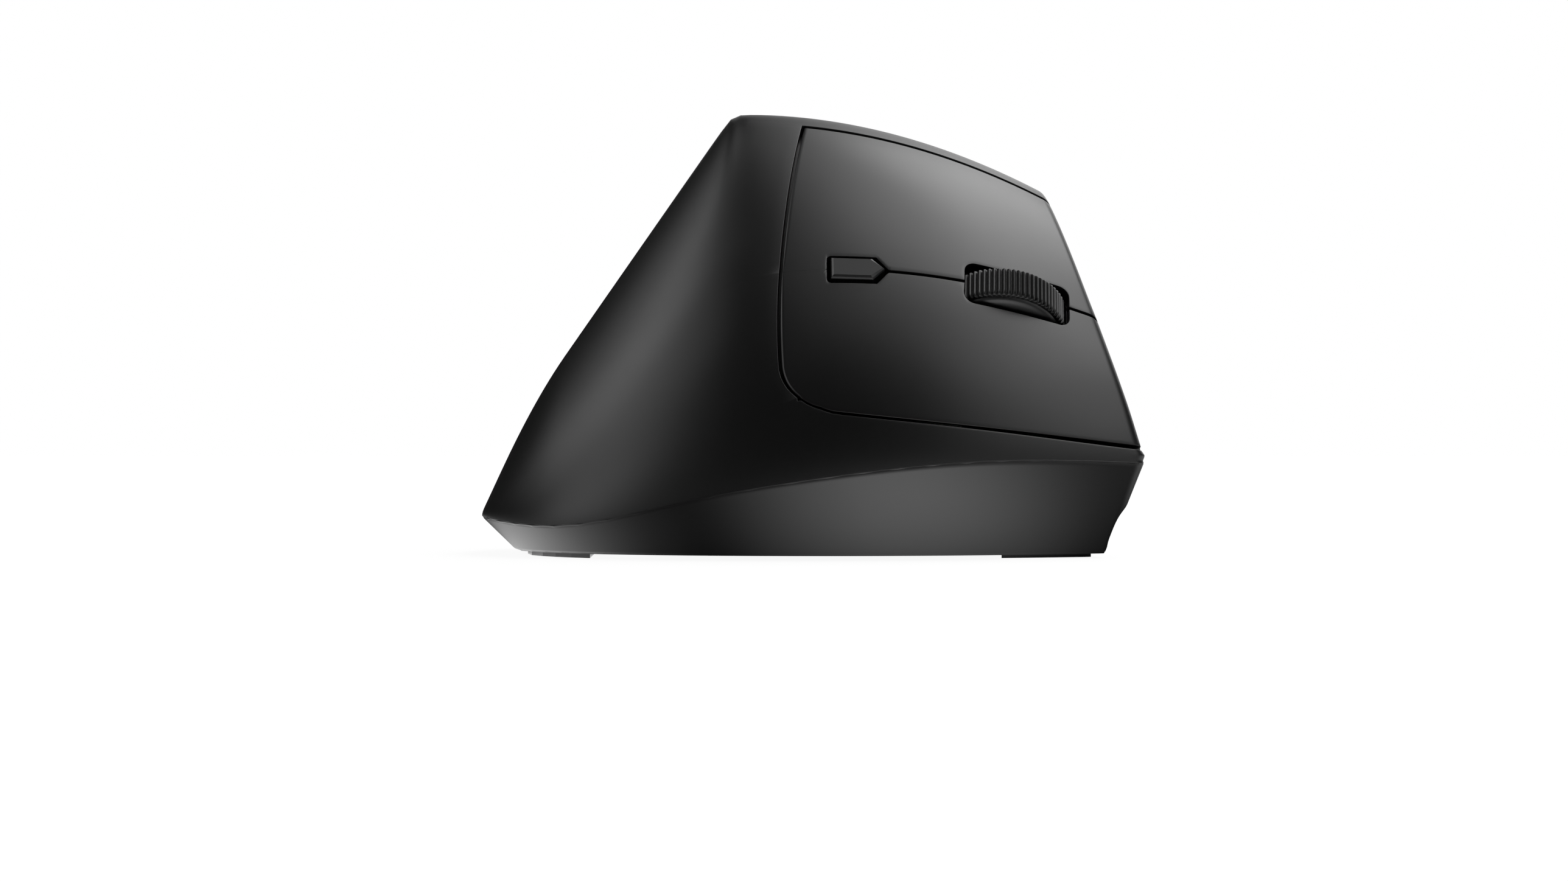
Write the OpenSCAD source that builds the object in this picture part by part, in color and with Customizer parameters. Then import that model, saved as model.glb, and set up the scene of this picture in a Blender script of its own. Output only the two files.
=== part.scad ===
// Upright computer mouse for the right hand, in millimetres.
// The front points to +Y, the finger side faces +X and the desk is Z = 0.

/* [Body] */
// How far the tail reaches behind the origin
tail_back = 60; // [52:0.5:68]
// How far the nose reaches in front of the origin
nose_front = 57.2; // [50:0.1:64]
// Height of the ridge above the desk at its highest point
ridge_height = 80.7; // [72:0.1:90]
// How far behind the origin the ridge is highest
peak_back = 12; // [6:0.5:18]
// Radius of the ridge seen from the side
ridge_radius = 106.4; // [90:0.1:140]
// Slope of the back in degrees
back_slope = 55.4; // [50:0.1:60]
// Distance behind the origin where the back would reach the ridge height
back_top = 14.8; // [11:0.1:19]
// Length over which the back turns steeper above the tail
tail_bend = 14.5; // [8:0.1:20]
// Extra drop of the back at the tail
tail_drop = 6.8; // [3:0.1:9]
// Softness of the corner between the back and the ridge
peak_round = 1.2; // [0.4:0.1:4]
// How far the ridge lies left of the origin
ridge_left = 8; // [4:0.5:12]
// Turn of the ridge seen from above in degrees
ridge_turn = 4.6; // [0:0.1:9]
// Reach of the right side from the origin
right_reach = 36; // [31:0.5:41]
// Reach of the left side from the origin
left_reach = 36; // [32:0.5:41]
// How far in front of the origin the body is widest
wide_front = 2; // [-4:0.5:8]
// Radius of the right side seen from above, in front of the widest place
right_radius = 117.6; // [95:0.1:160]
// Radius of the left side seen from above, in front of the widest place
left_radius = 139; // [110:0.5:190]
// Right end of the blunt tail
tail_right = 2; // [0:0.1:5]
// Left end of the blunt tail
tail_left = 8; // [4:0.1:12]
// Fullness of the finger side low down, 1 is flat
face_fullness = 1.8; // [1.4:0.05:2.2]
// Fullness of the finger side at the ridge, 1 is flat
crown_fullness = 1.3; // [1.1:0.05:1.6]
// Share of the thumb side's spread taken by the round shoulder
shoulder_share = 0.27; // [0.15:0.01:0.4]
// Depth of the shoulder as a share of the thumb side's height
shoulder_depth = 0.15; // [0.08:0.01:0.25]
// Share of the thumb side's spread taken by its even slope
thumb_slope = 0.08; // [0.02:0.01:0.2]
// How sharply the thumb side flares to its ledge
thumb_flare = 5; // [3:0.5:8]
// Thickness of the covers
cover_wall = 2; // [1.4:0.1:2.4]
// Thickness of the two key plates
key_wall = 1.8; // [1.2:0.1:2.2]
// Width of the seams between the covers
seam = 0.5; // [0.3:0.05:0.8]
// Width of the hairline between the key plates behind the speed button
hairline = 0.12; // [0.08:0.01:0.3]
// Radius of the rolled front edge
front_roll = 3.2; // [2.6:0.1:5]
// Angle the front edge is rolled through
roll_angle = 72; // [55:1:85]
// Length of the lip behind the rolled front edge
front_lip = 1.2; // [0.5:0.1:2.5]
// Distance from the tip of the nose back to the start of the roll at the crease
nose_start = 1.8; // [1.5:0.1:4]
// Lean of the front edge from the crease to the ridge
front_lean = 14; // [9:0.1:20]
// Swell of the front edge between the crease and the middle of its height
front_swell = 1.2; // [0:0.1:2]
// Turn of the front wall seen from above in degrees
front_turn = 6; // [0:0.5:12]
// Radius of the corner between the front and the thumb side
thumb_corner = 10; // [5:0.5:14]

/* [Key plates] */
// Share of the height where the two plates part
split_share = 0.55; // [0.45:0.01:0.65]
// Share of the height of the seam under the ridge
top_share = 0.966; // [0.93:0.002:0.98]
// Share of the height of the lower seam at the origin
low_share = 0.175; // [0.12:0.005:0.25]
// Distance of the plates' rear edge behind the origin
plate_back = 6.3; // [3:0.1:10]
// How far the rear edge comes forward at the ridge
plate_rake = 4.5; // [2:0.1:8]
// Radius of the plates' lower rear corner
plate_corner = 8.5; // [4:0.5:12]

/* [Wheel] */
// Place of the wheel along the body
wheel_y = 35.5; // [32:0.1:38]
// Diameter of the wheel over its tyre
wheel_d = 24; // [20:0.5:25]
// How far the wheel stands out of the plates
wheel_proud = 3; // [2:0.1:4]
// Width of the tyre
tyre_w = 6; // [4.5:0.1:7]
// Thickness of the tyre
tyre_t = 2.4; // [1.6:0.1:3]
// Number of ribs round the tyre
ribs = 84; // [48:1:90]
// Height of the ribs
rib_h = 0.5; // [0.3:0.05:0.8]
// Length of the slot for the wheel
slot_l = 19.4; // [17:0.1:22]
// Width of the slot for the wheel
slot_w = 9; // [8:0.1:10]
// Corner radius of the slot
slot_r = 2; // [1:0.1:3]
// Diameter of the wheel's axle
axle_d = 3; // [2:0.1:4]
// Gap round a turning or sliding part
run_gap = 0.06; // [0.03:0.01:0.1]
// Travel of the wheel when it is pressed
wheel_travel = 0.5; // [0.3:0.05:0.8]

/* [Buttons] */
// Place of the speed button along the body
speed_y = 7.6; // [5:0.1:10]
// Length of the speed button
speed_l = 9.8; // [8:0.1:12]
// Width of the speed button
speed_w = 5.2; // [4:0.1:6]
// Gap round the speed button
speed_gap = 0.35; // [0.25:0.05:0.6]
// How far the speed button stands proud
speed_proud = 0.8; // [0.4:0.1:1.4]
// Travel of the small buttons
click = 0.4; // [0.25:0.05:0.6]
// Angle the key plates turn through when pressed
key_angle = 0.8; // [0.5:0.05:1.1]
// Rear end of the back button along the body
back_key_y = -4; // [-8:0.5:0]
// Length of each thumb button along the body
thumb_key_l = 19; // [15:0.5:21]
// Lower edge of the thumb buttons as a share of the panel's height
thumb_key_low = 0.6; // [0.55:0.01:0.65]
// Upper edge of the thumb buttons as a share of the panel's height
thumb_key_high = 0.72; // [0.69:0.01:0.78]

/* [Base] */
// Thickness of the glide feet
foot_t = 0.8; // [0.5:0.05:1.2]
// Width of the front foot as a share of the base plate's width there
front_foot_share = 0.8; // [0.7:0.01:0.98]
// Thickness of the base plate
floor_t = 2; // [1.6:0.1:2.6]
// Share of the plan that the skirt keeps at the bottom
bottom_share = 0.895; // [0.85:0.005:0.93]
// Wall of the lower case as a share of the plan
case_share = 0.06; // [0.05:0.005:0.08]
// Gap under the covers along the crease
crease_gap = 0.2; // [0.1:0.05:0.4]
// Depth of the groove across the front of the skirt
groove = 1.8; // [0.5:0.1:2.5]
// Diameter of the battery
battery_d = 14.5; // [14:0.1:14.7]
// Length of the battery
battery_l = 50.5; // [49.5:0.1:51]
// Gap round the battery and the battery door
bay_gap = 0.2; // [0.1:0.05:0.4]
// Place of the battery's middle across the body
battery_x = -5.5; // [-7:0.5:-4]
// Place of the battery's middle along the body
battery_y = -18.5; // [-21:0.5:-17]
// Thickness of the battery door
door_t = 1.2; // [0.8:0.1:1.4]
// Width of the receiver
receiver_w = 14; // [12:0.5:16]
// Length of the receiver
receiver_l = 18.6; // [16:0.2:22]
// Thickness of the receiver
receiver_t = 6; // [5:0.1:7]
// Thickness of the circuit boards
board_t = 1.2; // [0.8:0.1:1.6]
// Travel of the power slider
power_travel = 3; // [2:0.1:4]
// Diameter of the screw shanks
screw_d = 2.3; // [2:0.1:3]
// Diameter of the screw heads
head_d = 4.2; // [3.6:0.1:5]

/* [Hidden] */
$fn = 32;
black = [0.07, 0.07, 0.075];
satin = [0.11, 0.11, 0.115];
rubber = [0.05, 0.05, 0.05];
steel = [0.7, 0.7, 0.72];
green = [0.08, 0.3, 0.16];
chip = [0.12, 0.12, 0.13];
clear = [0.75, 0.8, 0.85];
white = [0.85, 0.85, 0.82];
copper = [0.75, 0.5, 0.25];

// Height of the creases at places along the body
right_crease = [[-tail_back, 7], [-45, 5.9], [-25, 9.6], [0, 14.1], [30, 17.1], [57, 16.7]];
left_crease = [[-tail_back, 7], [-45, 5.9], [-25, 7], [0, 9.5], [30, 12.5], [57, 14]];

// Smooth curve through given places, with no bend at its two ends
function sweep(k, c = [0], d = [0], i = 1) = i > len(k) - 2 ? [c, d] :
  let (h = k[i][0] - k[i - 1][0], g = k[i + 1][0] - k[i][0], w = 2 * (h + g) - h * c[i - 1],
    r = 6 * ((k[i + 1][1] - k[i][1]) / g - (k[i][1] - k[i - 1][1]) / h))
  sweep(k, concat(c, [g / w]), concat(d, [(r - h * d[i - 1]) / w]), i + 1);
function settle(s, i, m) = i < 0 ? m : settle(s, i - 1, concat([s[1][i] - s[0][i] * m[0]], m));
function bends(k) = settle(sweep(k), len(k) - 2, [0]);
function curve(k, b, y) =
  let (i = max([for (j = [0 : len(k) - 2]) if (j == 0 || y >= k[j][0]) j]),
    h = k[i + 1][0] - k[i][0], u = (y - k[i][0]) / h, v = 1 - u)
  v * k[i][1] + u * k[i + 1][1] + ((v ^ 3 - v) * b[i] + (u ^ 3 - u) * b[i + 1]) * h * h / 6;
right_bends = bends(right_crease);
left_bends = bends(left_crease);

function lerp(a, b, t) = a + (b - a) * t;
function unit(v) = v / norm(v);
function ease(t) = let (s = min(1, max(0, t))) s * s * (3 - 2 * s);

// Guide curves of the body: the ridge, the creases and the plan of the two sides
function ridge_x(y) = -ridge_left - tan(ridge_turn) * y;
function ridge_z(y) =
  let (a = ridge_height - (y + peak_back) ^ 2 / (2 * ridge_radius),
    d = max(0, tail_bend - tail_back - y),
    b = ridge_height + tan(back_slope) * (y + back_top) - tail_drop * (d / tail_bend) ^ 2)
  (a + b - sqrt((a - b) ^ 2 + peak_round ^ 2)) / 2;
function plan(y, reach, tail, radius) = y > wide_front ?
  reach - (y - wide_front) ^ 2 / (2 * radius) :
  tail + (reach - tail) * sqrt(max(0, 1 - ((wide_front - y) / (wide_front + tail_back)) ^ 2.2));
function right_x(y) = plan(y, right_reach, tail_right, right_radius);
function left_x(y) = -plan(y, left_reach, tail_left, left_radius);
function right_z(y) = curve(right_crease, right_bends, y);
function left_z(y) = curve(left_crease, left_bends, y);

// Finger side: share 0 is the right crease and share 1 the ridge
function face(y, q) =
  [ridge_x(y) + (right_x(y) - ridge_x(y)) * max(0, 1 - q ^ face_fullness) ^ (1 / crown_fullness),
    y, lerp(right_z(y), ridge_z(y), q)];
// Thumb side: share 0 is the ridge and share 1 the left crease
function spread(p) =
  shoulder_share * sqrt(1 - max(0, 1 - p / shoulder_depth) ^ 2) + thumb_slope * p
  + (1 - shoulder_share - thumb_slope) * p ^ thumb_flare;
function side(y, p) =
  [lerp(ridge_x(y), left_x(y), spread(p)), y, lerp(ridge_z(y), left_z(y), p)];
// Whole upper skin: shares over 1 go on down the thumb side
function skin_at(y, q) = q > 1 ? side(y, q - 1) : face(y, q);
function skin_out(y, q) =
  unit(cross(skin_at(y + 0.1, q) - skin_at(y - 0.1, q),
    skin_at(y, q + 0.004) - skin_at(y, max(0, q - 0.004))));
function run_of(y, q) = unit(skin_at(y + 0.1, q) - skin_at(y - 0.1, q));

// Seam lines across the finger side as shares of its height
shoulder_seam = 0.1;
shoulder_dip = 0.05;
function dip(y) = shoulder_dip * ease((y + 1) / 38);
function low_line(y) = low_share - 0.0033 * max(0, y) + 0.0000215 * max(0, y) ^ 2;
function half_seam(y) = 0.85 * seam / 2 / (ridge_z(y) - right_z(y));
function half_split(y) = (y < speed_y ? hairline / seam : 1) * half_seam(y);
// The lower seam is wider at the front, where the pressed plate comes down
function key_low(y) = low_line(y) + half_seam(y) * (1 + ease((y - 25) / 25));
function rows(y) =
  [0, low_line(y) - half_seam(y), key_low(y), split_share - half_split(y),
    split_share + half_split(y), top_share - half_seam(y), top_share + half_seam(y), 1,
    1 + shoulder_seam + dip(y)];
function row_share(v, y) = let (i = min(7, floor(v)), r = rows(y)) lerp(r[i], r[i + 1], v - i);
// Places along the body where the plates start and where the front edge starts to roll
function plate_y(q) = plate_rake * ((min(1, q) - 0.4) / 0.57) ^ 2 - plate_back;
function roll_y(q) = nose_front - nose_start - front_lean * q
  + front_swell * ease(q / 0.08) * (1 - 0.65 * ease((q - 0.22) / 0.45));
function along(u, q) = u < 1 ? lerp(-tail_back, plate_y(q) - seam / 2, u ^ 1.7) :
  u < 2 ? plate_y(q) + seam * (u - 1.5) : lerp(plate_y(q) + seam / 2, roll_y(q), min(1, u - 2));
// Rounding of the plates' lower rear corner, for a point a in front of it and b above it
function corner_shift(a, b) =
  let (r = plate_corner, d = max(abs(a), abs(b)), t = 45 * (1 - d / r),
    e = r - r * cos(t), f = r - r * sin(t) - d, w = b * b / (a * a + b * b + 0.001))
  d > r ? [0, 0] : ease(1 + b / 6) * [w * e + (1 - w) * f, w * f + (1 - w) * e];
// A place on the skin and its outward direction; u counts columns and v rows
nominal = rows(20);
function spot(u, v) =
  let (k = min(7, floor(v)), q0 = lerp(nominal[k], nominal[k + 1], v - k), y0 = along(u, q0),
    q1 = row_share(v, y0), rise = ridge_z(y0) - right_z(y0),
    s = corner_shift(y0 - plate_y(q0), (q1 - low_line(y0)) * rise),
    y = y0 + s[0], q = q1 + s[1] / rise)
  u <= 3 ? [skin_at(y, q), skin_out(y, q)] : rolled(y, q, min(1, u - 3), max(0, u - 4));
function rolled(y, q, turn, lip) =
  let (n = skin_out(y, q), t = run_of(y, q), a = roll_angle * turn, o = sin(a) * t + cos(a) * n)
  [skin_at(y, q) + front_roll * (sin(a) * t - (1 - cos(a)) * n)
    + lip * front_lip * (cos(a) * t - sin(a) * n), o];

// Thumb side and front wall: u runs from the tail round the corner to the rolled edge, w goes up
// Gap behind the lips, for the travel of the pressed plates and half a seam
front_gap = seam / 2 + (nose_front + plate_back) * tan(key_angle);
function lip_end(w) =
  let (q = 0.95 * w, e = rolled(roll_y(q), q, 1, 1), b = rolled(roll_y(q), q, 1, 0))
  e[0] + front_gap * unit(e[0] - b[0]);
function nose_rise(u) = 3.5 * ease((u - 1.85) / 0.4) * min(1, (3 - u) / 0.9)
  - 0.8 * ease((u - 1) / 0.5) * ease((2.2 - u) / 0.4);
function low_p(w, y) = lerp(1, shoulder_seam + 0.012 + dip(y), w);
function corner_y(w) =
  let (e = lip_end(w)) e[1] - tan(front_turn) * (e[0] - side(e[1], low_p(w, e[1]))[0]);
function wall_at(u, w) =
  let (e = lip_end(w), y = corner_y(w), b = side(y, low_p(w, y)), l = norm(e - b),
    r = min(thumb_corner, 0.42 * l), a = side(y - r, low_p(w, y - r)), c = lerp(b, e, r / l),
    t = u - 1, k = lerp(-tail_back, y - r, u ^ 1.7))
  u < 1 ? side(k, low_p(w, k)) : [0, 0, nose_rise(u) * w ^ 8]
    + (u < 2 ? (1 - t) * (1 - t) * a + 2 * t * (1 - t) * b + t * t * c : lerp(c, e, u - 2));
function wall_out(u, w) =
  unit(cross(wall_at(u, min(1, w + 0.01)) - wall_at(u, max(0, w - 0.01)),
    wall_at(min(3, u + 0.01), w) - wall_at(max(0, u - 0.01), w)));

function even(a, b, n) = [for (i = [0 : n]) lerp(a, b, i / n)];
function grid(us, vs, lift) = [for (u = us) [for (v = vs) let (s = spot(u, v)) s[0] + lift * s[1]]];
function wall_grid(us, ws, lift) =
  [for (u = us) [for (w = ws) wall_at(u, w) + lift * wall_out(u, w)]];
function inside(i, j, boxes) =
  len([for (b = boxes) if (i >= b[0] && i < b[1] && j >= b[2] && j < b[3]) 1]) > 0;

// Closed sheet between an outer and an inner grid of points, less some boxes of cells
module sheet(outer, inner, boxes = []) {
  n = len(outer);
  m = len(outer[0]);
  function id(i, j, s) = (s * n + i) * m + j;
  function kept(i, j) = i >= 0 && j >= 0 && i < n - 1 && j < m - 1 && !inside(i, j, boxes);
  function rim(a, b) = [[id(a[0], a[1], 0), id(b[0], b[1], 0), id(b[0], b[1], 1)],
    [id(a[0], a[1], 0), id(b[0], b[1], 1), id(a[0], a[1], 1)]];
  faces = [for (i = [0 : n - 2], j = [0 : m - 2]) if (kept(i, j)) each concat(
    [[id(i, j, 0), id(i, j + 1, 0), id(i + 1, j + 1, 0)],
      [id(i, j, 0), id(i + 1, j + 1, 0), id(i + 1, j, 0)],
      [id(i, j, 1), id(i + 1, j + 1, 1), id(i, j + 1, 1)],
      [id(i, j, 1), id(i + 1, j, 1), id(i + 1, j + 1, 1)]],
    kept(i - 1, j) ? [] : rim([i, j + 1], [i, j]),
    kept(i + 1, j) ? [] : rim([i + 1, j], [i + 1, j + 1]),
    kept(i, j - 1) ? [] : rim([i, j], [i + 1, j]),
    kept(i, j + 1) ? [] : rim([i + 1, j + 1], [i, j + 1]))];
  polyhedron([for (g = [outer, inner], c = g) each c], faces);
}

// Closed solid through a list of rings, each end closed towards its middle point
module loft(rings, ends) {
  n = len(rings[0]);
  m = len(rings);
  sides = [for (i = [0 : m - 2], k = [0 : n - 1]) let (a = i * n + k, b = i * n + (k + 1) % n)
    each [[a, b, b + n], [a, b + n, a + n]]];
  first = [for (k = [0 : n - 1]) [n * m, (k + 1) % n, k]];
  last = [for (k = [0 : n - 1]) [n * m + 1, (m - 1) * n + k, (m - 1) * n + (k + 1) % n]];
  polyhedron(concat([for (r = rings) each r], ends), concat(sides, first, last));
}

// Round wire along a path of points
module wire(path, r) {
  n = len(path);
  rings = [for (i = [0 : n - 1])
    let (t = unit(path[min(n - 1, i + 1)] - path[max(0, i - 1)]),
      a = unit(cross(t, abs(t[1]) < 0.9 ? [0, 1, 0] : [1, 0, 0])), b = cross(t, a))
    [for (k = [0 : 7]) path[i] + r * (cos(45 * k) * a - sin(45 * k) * b)]];
  loft(rings, [path[0], path[n - 1]]);
}

// Flat strip along stations, each a middle point, a direction across and a direction through
module strip(stations, w, t) {
  rings = [for (s = stations) [for (k = [[1, 1], [1, -1], [-1, -1], [-1, 1]])
    s[0] + k[0] * w / 2 * s[1] + k[1] * t / 2 * s[2]]];
  loft(rings, [stations[0][0], stations[len(stations) - 1][0]]);
}

// Places and directions on the skin that carry the keys, the speed button and the thumb buttons
key_o = face(wheel_y, split_share);
key_n = skin_out(wheel_y, split_share);
key_f = run_of(wheel_y, split_share);
key_a = cross(key_n, key_f);
function to_keys(p) = [(p - key_o) * key_f, (p - key_o) * key_a, (p - key_o) * key_n];
function from_keys(p) = key_o + p[0] * key_f + p[1] * key_a + p[2] * key_n;
speed_o = face(speed_y, split_share);
speed_n = skin_out(speed_y, split_share);
speed_f = run_of(speed_y, split_share);
speed_a = cross(speed_n, speed_f);
thumb_y = back_key_y + thumb_key_l;
thumb_share = low_p((thumb_key_low + thumb_key_high) / 2, thumb_y);
thumb_o = side(thumb_y, thumb_share);
thumb_n = skin_out(thumb_y, 1 + thumb_share);
thumb_f = -run_of(thumb_y, 1 + thumb_share);
thumb_a = cross(thumb_n, thumb_f);
function to_thumb(p) = [(p - thumb_o) * thumb_f, (p - thumb_o) * thumb_a, (p - thumb_o) * thumb_n];
module turned(x, y, z, o) {
  multmatrix([[x[0], y[0], z[0], o[0]], [x[1], y[1], z[1], o[1]], [x[2], y[2], z[2], o[2]]]) children();
}
module keys() { turned(key_f, key_a, key_n, key_o) children(); }
module speeds() { turned(speed_f, speed_a, speed_n, speed_o) children(); }
module thumbs() { turned(thumb_f, thumb_a, thumb_n, thumb_o) children(); }

// Heights inside, counted outward from the plates at the wheel
wheel_r = wheel_d / 2;
wheel_z = wheel_proud - wheel_r;
board_top = wheel_z - 4.4;
frame_top = board_top - board_t;
frame_t = 2.4;
frame_low = frame_top - frame_t;
touch = 0.03;
rod_d = 2;
pivot_x = -35.6;
pivot_z = board_top - 1.6;
knuckle_d = 4.8;
knuckle_w = 6;
board_half = 18.6;
board_rear = -32.6;
board_front = 10;
arm_in = tyre_w / 2 + 2;
arm_out = arm_in + 2;
arm_w = 6;
switch_l = 12.8;
switch_w = 5.8;
switch_h = 6.5;
plunger_up = 0.6;
tact_w = 4.5;
tact_h = 3.5;
tact_low = 2;
tact_d = 2.4;
tact_stay = 0.7;
tact_pocket = tact_stay + max(click, wheel_travel) + 0.2;
left_press = to_keys(face(37, 0.775));
right_press = to_keys(face(37.5, 0.3));
left_root = [-2, 0.675];
right_root = [-3.1, 0.42];
function root_y(r) = to_keys(face(r[0], r[1]))[1];
speed_at = to_keys(speed_o);
stem_d = 4;
speed_skirt = 2;
speed_bevel = 0.4;
wheel_tact_y = arm_out + 0.3 + tact_w / 2;

// Heights inside the base
floor_z = foot_t + floor_t;
boss_top = 8;
boss_d = 6.4;
main_z = floor_z + 3.2;
main_top = main_z + board_t;
door_top = foot_t + door_t;
battery_z = door_top + 0.1 + battery_d / 2;
contact_t = 0.4;
coil_l = 3.2;
bay_w = battery_d + 2 * bay_gap;
bay_rear = battery_y - battery_l / 2 - coil_l - contact_t;
bay_front = battery_y + battery_l / 2 + contact_t;
cradle_t = 1.2;
cradle_top = 9.5;
ledge = 0.8;
receiver_x = 13.2;
receiver_y = -25;
dock_wall = 1.2;
power_x = -17.5;
power_y = 18;
sensor_x = 3;
sensor_y = 19;
leg_w = 5;
leg_gap = 0.7;
inner_leg_x = battery_x + bay_w / 2 + cradle_t + leg_w / 2 + leg_gap;
inner_leg_across = (inner_leg_x - key_o[0] + 30 * key_f[0] - frame_low * key_n[0]) / key_a[0];
leg_places = [[7, -15], [-30, -14.5], [-30, inner_leg_across], [6, 15]];
leg_spots = [for (c = leg_places) from_keys([c[0], c[1], frame_low])];
cover_posts = [[14, -41], [19.5, 41]];
panel_posts = [[-22, 36, 29], [-21, -30, 20]];
all_posts = concat(cover_posts, panel_posts);

// Loop of the crease, from the tail along the right side, across the front and back on the left
right_cols = concat([0, 0.12, 0.22], even(0.3, 1, 9), even(2.1, 3, 9), [3.25, 3.5, 3.75, 4]);
front_cols = concat([2.98], even(2.75, 2, 4), even(1.75, 1, 4));
left_cols = concat(even(0.92, 0.3, 9), [0.22, 0.12, 0.001]);
crease_loop = concat([for (u = right_cols) spot(u, 0)[0]], [for (u = front_cols) wall_at(u, 0)],
  [for (u = left_cols) wall_at(u, 0)]);
front_share = concat([for (u = right_cols) ease((u - 3.1) / 0.8)],
  [for (u = front_cols) ease((u - 1.2) / 0.7)], [for (u = left_cols) 0]);
function groove_in(t) = groove * (ease((t - 0.45) / 0.3) - 0.55 * ease((t - 0.82) / 0.12));
function case_ring(t, share) =
  [for (k = [0 : len(crease_loop) - 1]) let (p = crease_loop[k], s = share * lerp(1, bottom_share, t))
    [p[0] * s, p[1] * s - front_share[k] * groove_in(t), lerp(p[2] - crease_gap, foot_t, t)]];
function flat_ring(z, share) = [for (p = case_ring(1, share)) [p[0], p[1], z]];

// Column and row places of the cover
cover_cols = concat([0, 0.06, 0.14], even(0.22, 1, 11), even(2, 3, 8), [3.25, 3.5, 3.75, 4, 5]);
cover_rows = concat(even(0, 1, 3), even(2, 3, 5), even(4, 5, 7), [6, 6.35, 6.65, 6.88, 7],
  [7.05, 7.18, 7.4, 7.7, 8]);
post_cols = even(0.3, 0.85, 6);
key_cols = concat(even(2, 3, 10), [3.25, 3.5, 3.75, 4, 5]);
wall_cols = concat([0.001, 0.06, 0.14], even(0.22, 1, 12), even(1.2, 2, 4), even(2.25, 3, 3));
function wall_u(y, w) = let (b = corner_y(w), e = lip_end(w), l = norm(e - side(b, low_p(w, b))))
  ((y + tail_back) / (b - min(thumb_corner, 0.42 * l) + tail_back)) ^ (1 / 1.7);
function taper(u) = 0.06 + 0.94 * ease(u / 0.5);
function tapered(us, vs, t) =
  [for (u = us) [for (v = vs) let (s = spot(u, v)) s[0] - t * taper(u) * s[1]]];
function wall_inner(us, ws, t) =
  [for (u = us) [for (w = ws) let (n = wall_out(u, w))
    wall_at(u, w) - t * taper(u) * unit([n[0], n[1], n[2] * ease(w / 0.2)])]];

// Rounded bar with upright corners
module pill(l, w, r, h) {
  translate([-l / 2 + r, -w / 2, 0]) cube([l - 2 * r, w, h]);
  translate([-l / 2, -w / 2 + r, 0]) cube([l, w - 2 * r, h]);
  for (x = [-1, 1], y = [-1, 1]) translate([x * (l / 2 - r), y * (w / 2 - r), 0]) cylinder(r = r, h = h);
}
// Everything is drawn about the widest place and then moved to the middle of the length
module centred() { translate([0, (tail_back - nose_front) / 2, 0]) children(); }
module block(x, y, z) {
  translate([x[0], y[0], z[0]]) cube([x[1] - x[0], y[1] - y[0], z[1] - z[0]]);
}
module bar_y(d, l) { rotate([90, 0, 0]) cylinder(d = d, h = l, center = true); }

// Outline of the speed button, grown by a gap
module arrow(grow, h) {
  x = speed_l / 2 + grow;
  y = speed_w / 2 + grow;
  linear_extrude(h) polygon([[-x, -y], [x - 2.2, -y], [x, 0], [x - 2.2, y], [-x, y]]);
}

// Openings in the plates for the wheel and the speed button
module plate_openings() {
  keys() translate([0, 0, -9]) pill(slot_l, slot_w, slot_r, 14);
  keys() translate([0, 0, -12]) pill(slot_l + 3.6, slot_w + 1, slot_r, 11);
  speeds() translate([0, 0, -6]) arrow(speed_gap, 10);
}
// Knuckle and switch post under a plate
module plate_roots(root, press) {
  o = face(root[0], root[1]);
  n = skin_out(root[0], root[1]);
  f = run_of(root[0], root[1]);
  drop = to_keys(o)[2] - pivot_z;
  keys() translate([pivot_x, root_y(root), pivot_z]) bar_y(knuckle_d, knuckle_w);
  turned(f, cross(n, f), n, o) block([-1.6, 1.6], [-2.6, 2.6], [-drop, -key_wall / 2]);
  keys() translate([press[0], press[1], board_top + switch_h + plunger_up + touch])
    cylinder(d = 3, h = press[2] - key_wall / 2 - board_top - switch_h - plunger_up - touch);
}
module plate_bore(root) {
  keys() translate([pivot_x, root_y(root), pivot_z]) bar_y(rod_d + 2 * run_gap, knuckle_w + 2);
}

module palm_cover() {
  i = 14;
  j = 3;
  k = 18;
  color(black) centred() {
    difference() {
      union() {
        sheet(grid(cover_cols, cover_rows, 0), tapered(cover_cols, cover_rows, cover_wall),
          [[i, len(cover_cols), j, k]]);
        difference() {
          translate([cover_posts[0][0], cover_posts[0][1], boss_top]) cylinder(d = boss_d, h = 40);
          sheet(grid(post_cols, even(1.2, 5, 8), 40), grid(post_cols, even(1.2, 5, 8), -1));
        }
        translate([cover_posts[1][0], cover_posts[1][1], boss_top]) cylinder(d = boss_d, h = 12);
        block([cover_posts[1][0], right_x(cover_posts[1][1]) - cover_wall / 2],
          [cover_posts[1][1] - 1.5, cover_posts[1][1] + 1.5], [18.2, 19.8]);
      }
      for (p = cover_posts) translate([p[0], p[1], boss_top - 1]) cylinder(d = screw_d, h = 9);
    }
  }
}
module left_key() {
  color(satin) centred() difference() {
    union() {
      sheet(grid(key_cols, even(4, 5, 8), 0), grid(key_cols, even(4, 5, 8), -key_wall));
      plate_roots(left_root, left_press);
    }
    plate_openings();
    plate_bore(left_root);
  }
}
module right_key() {
  color(satin) centred() difference() {
    union() {
      sheet(grid(key_cols, even(2, 3, 8), 0), grid(key_cols, even(2, 3, 8), -key_wall));
      plate_roots(right_root, right_press);
    }
    plate_openings();
    plate_bore(right_root);
  }
}

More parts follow.
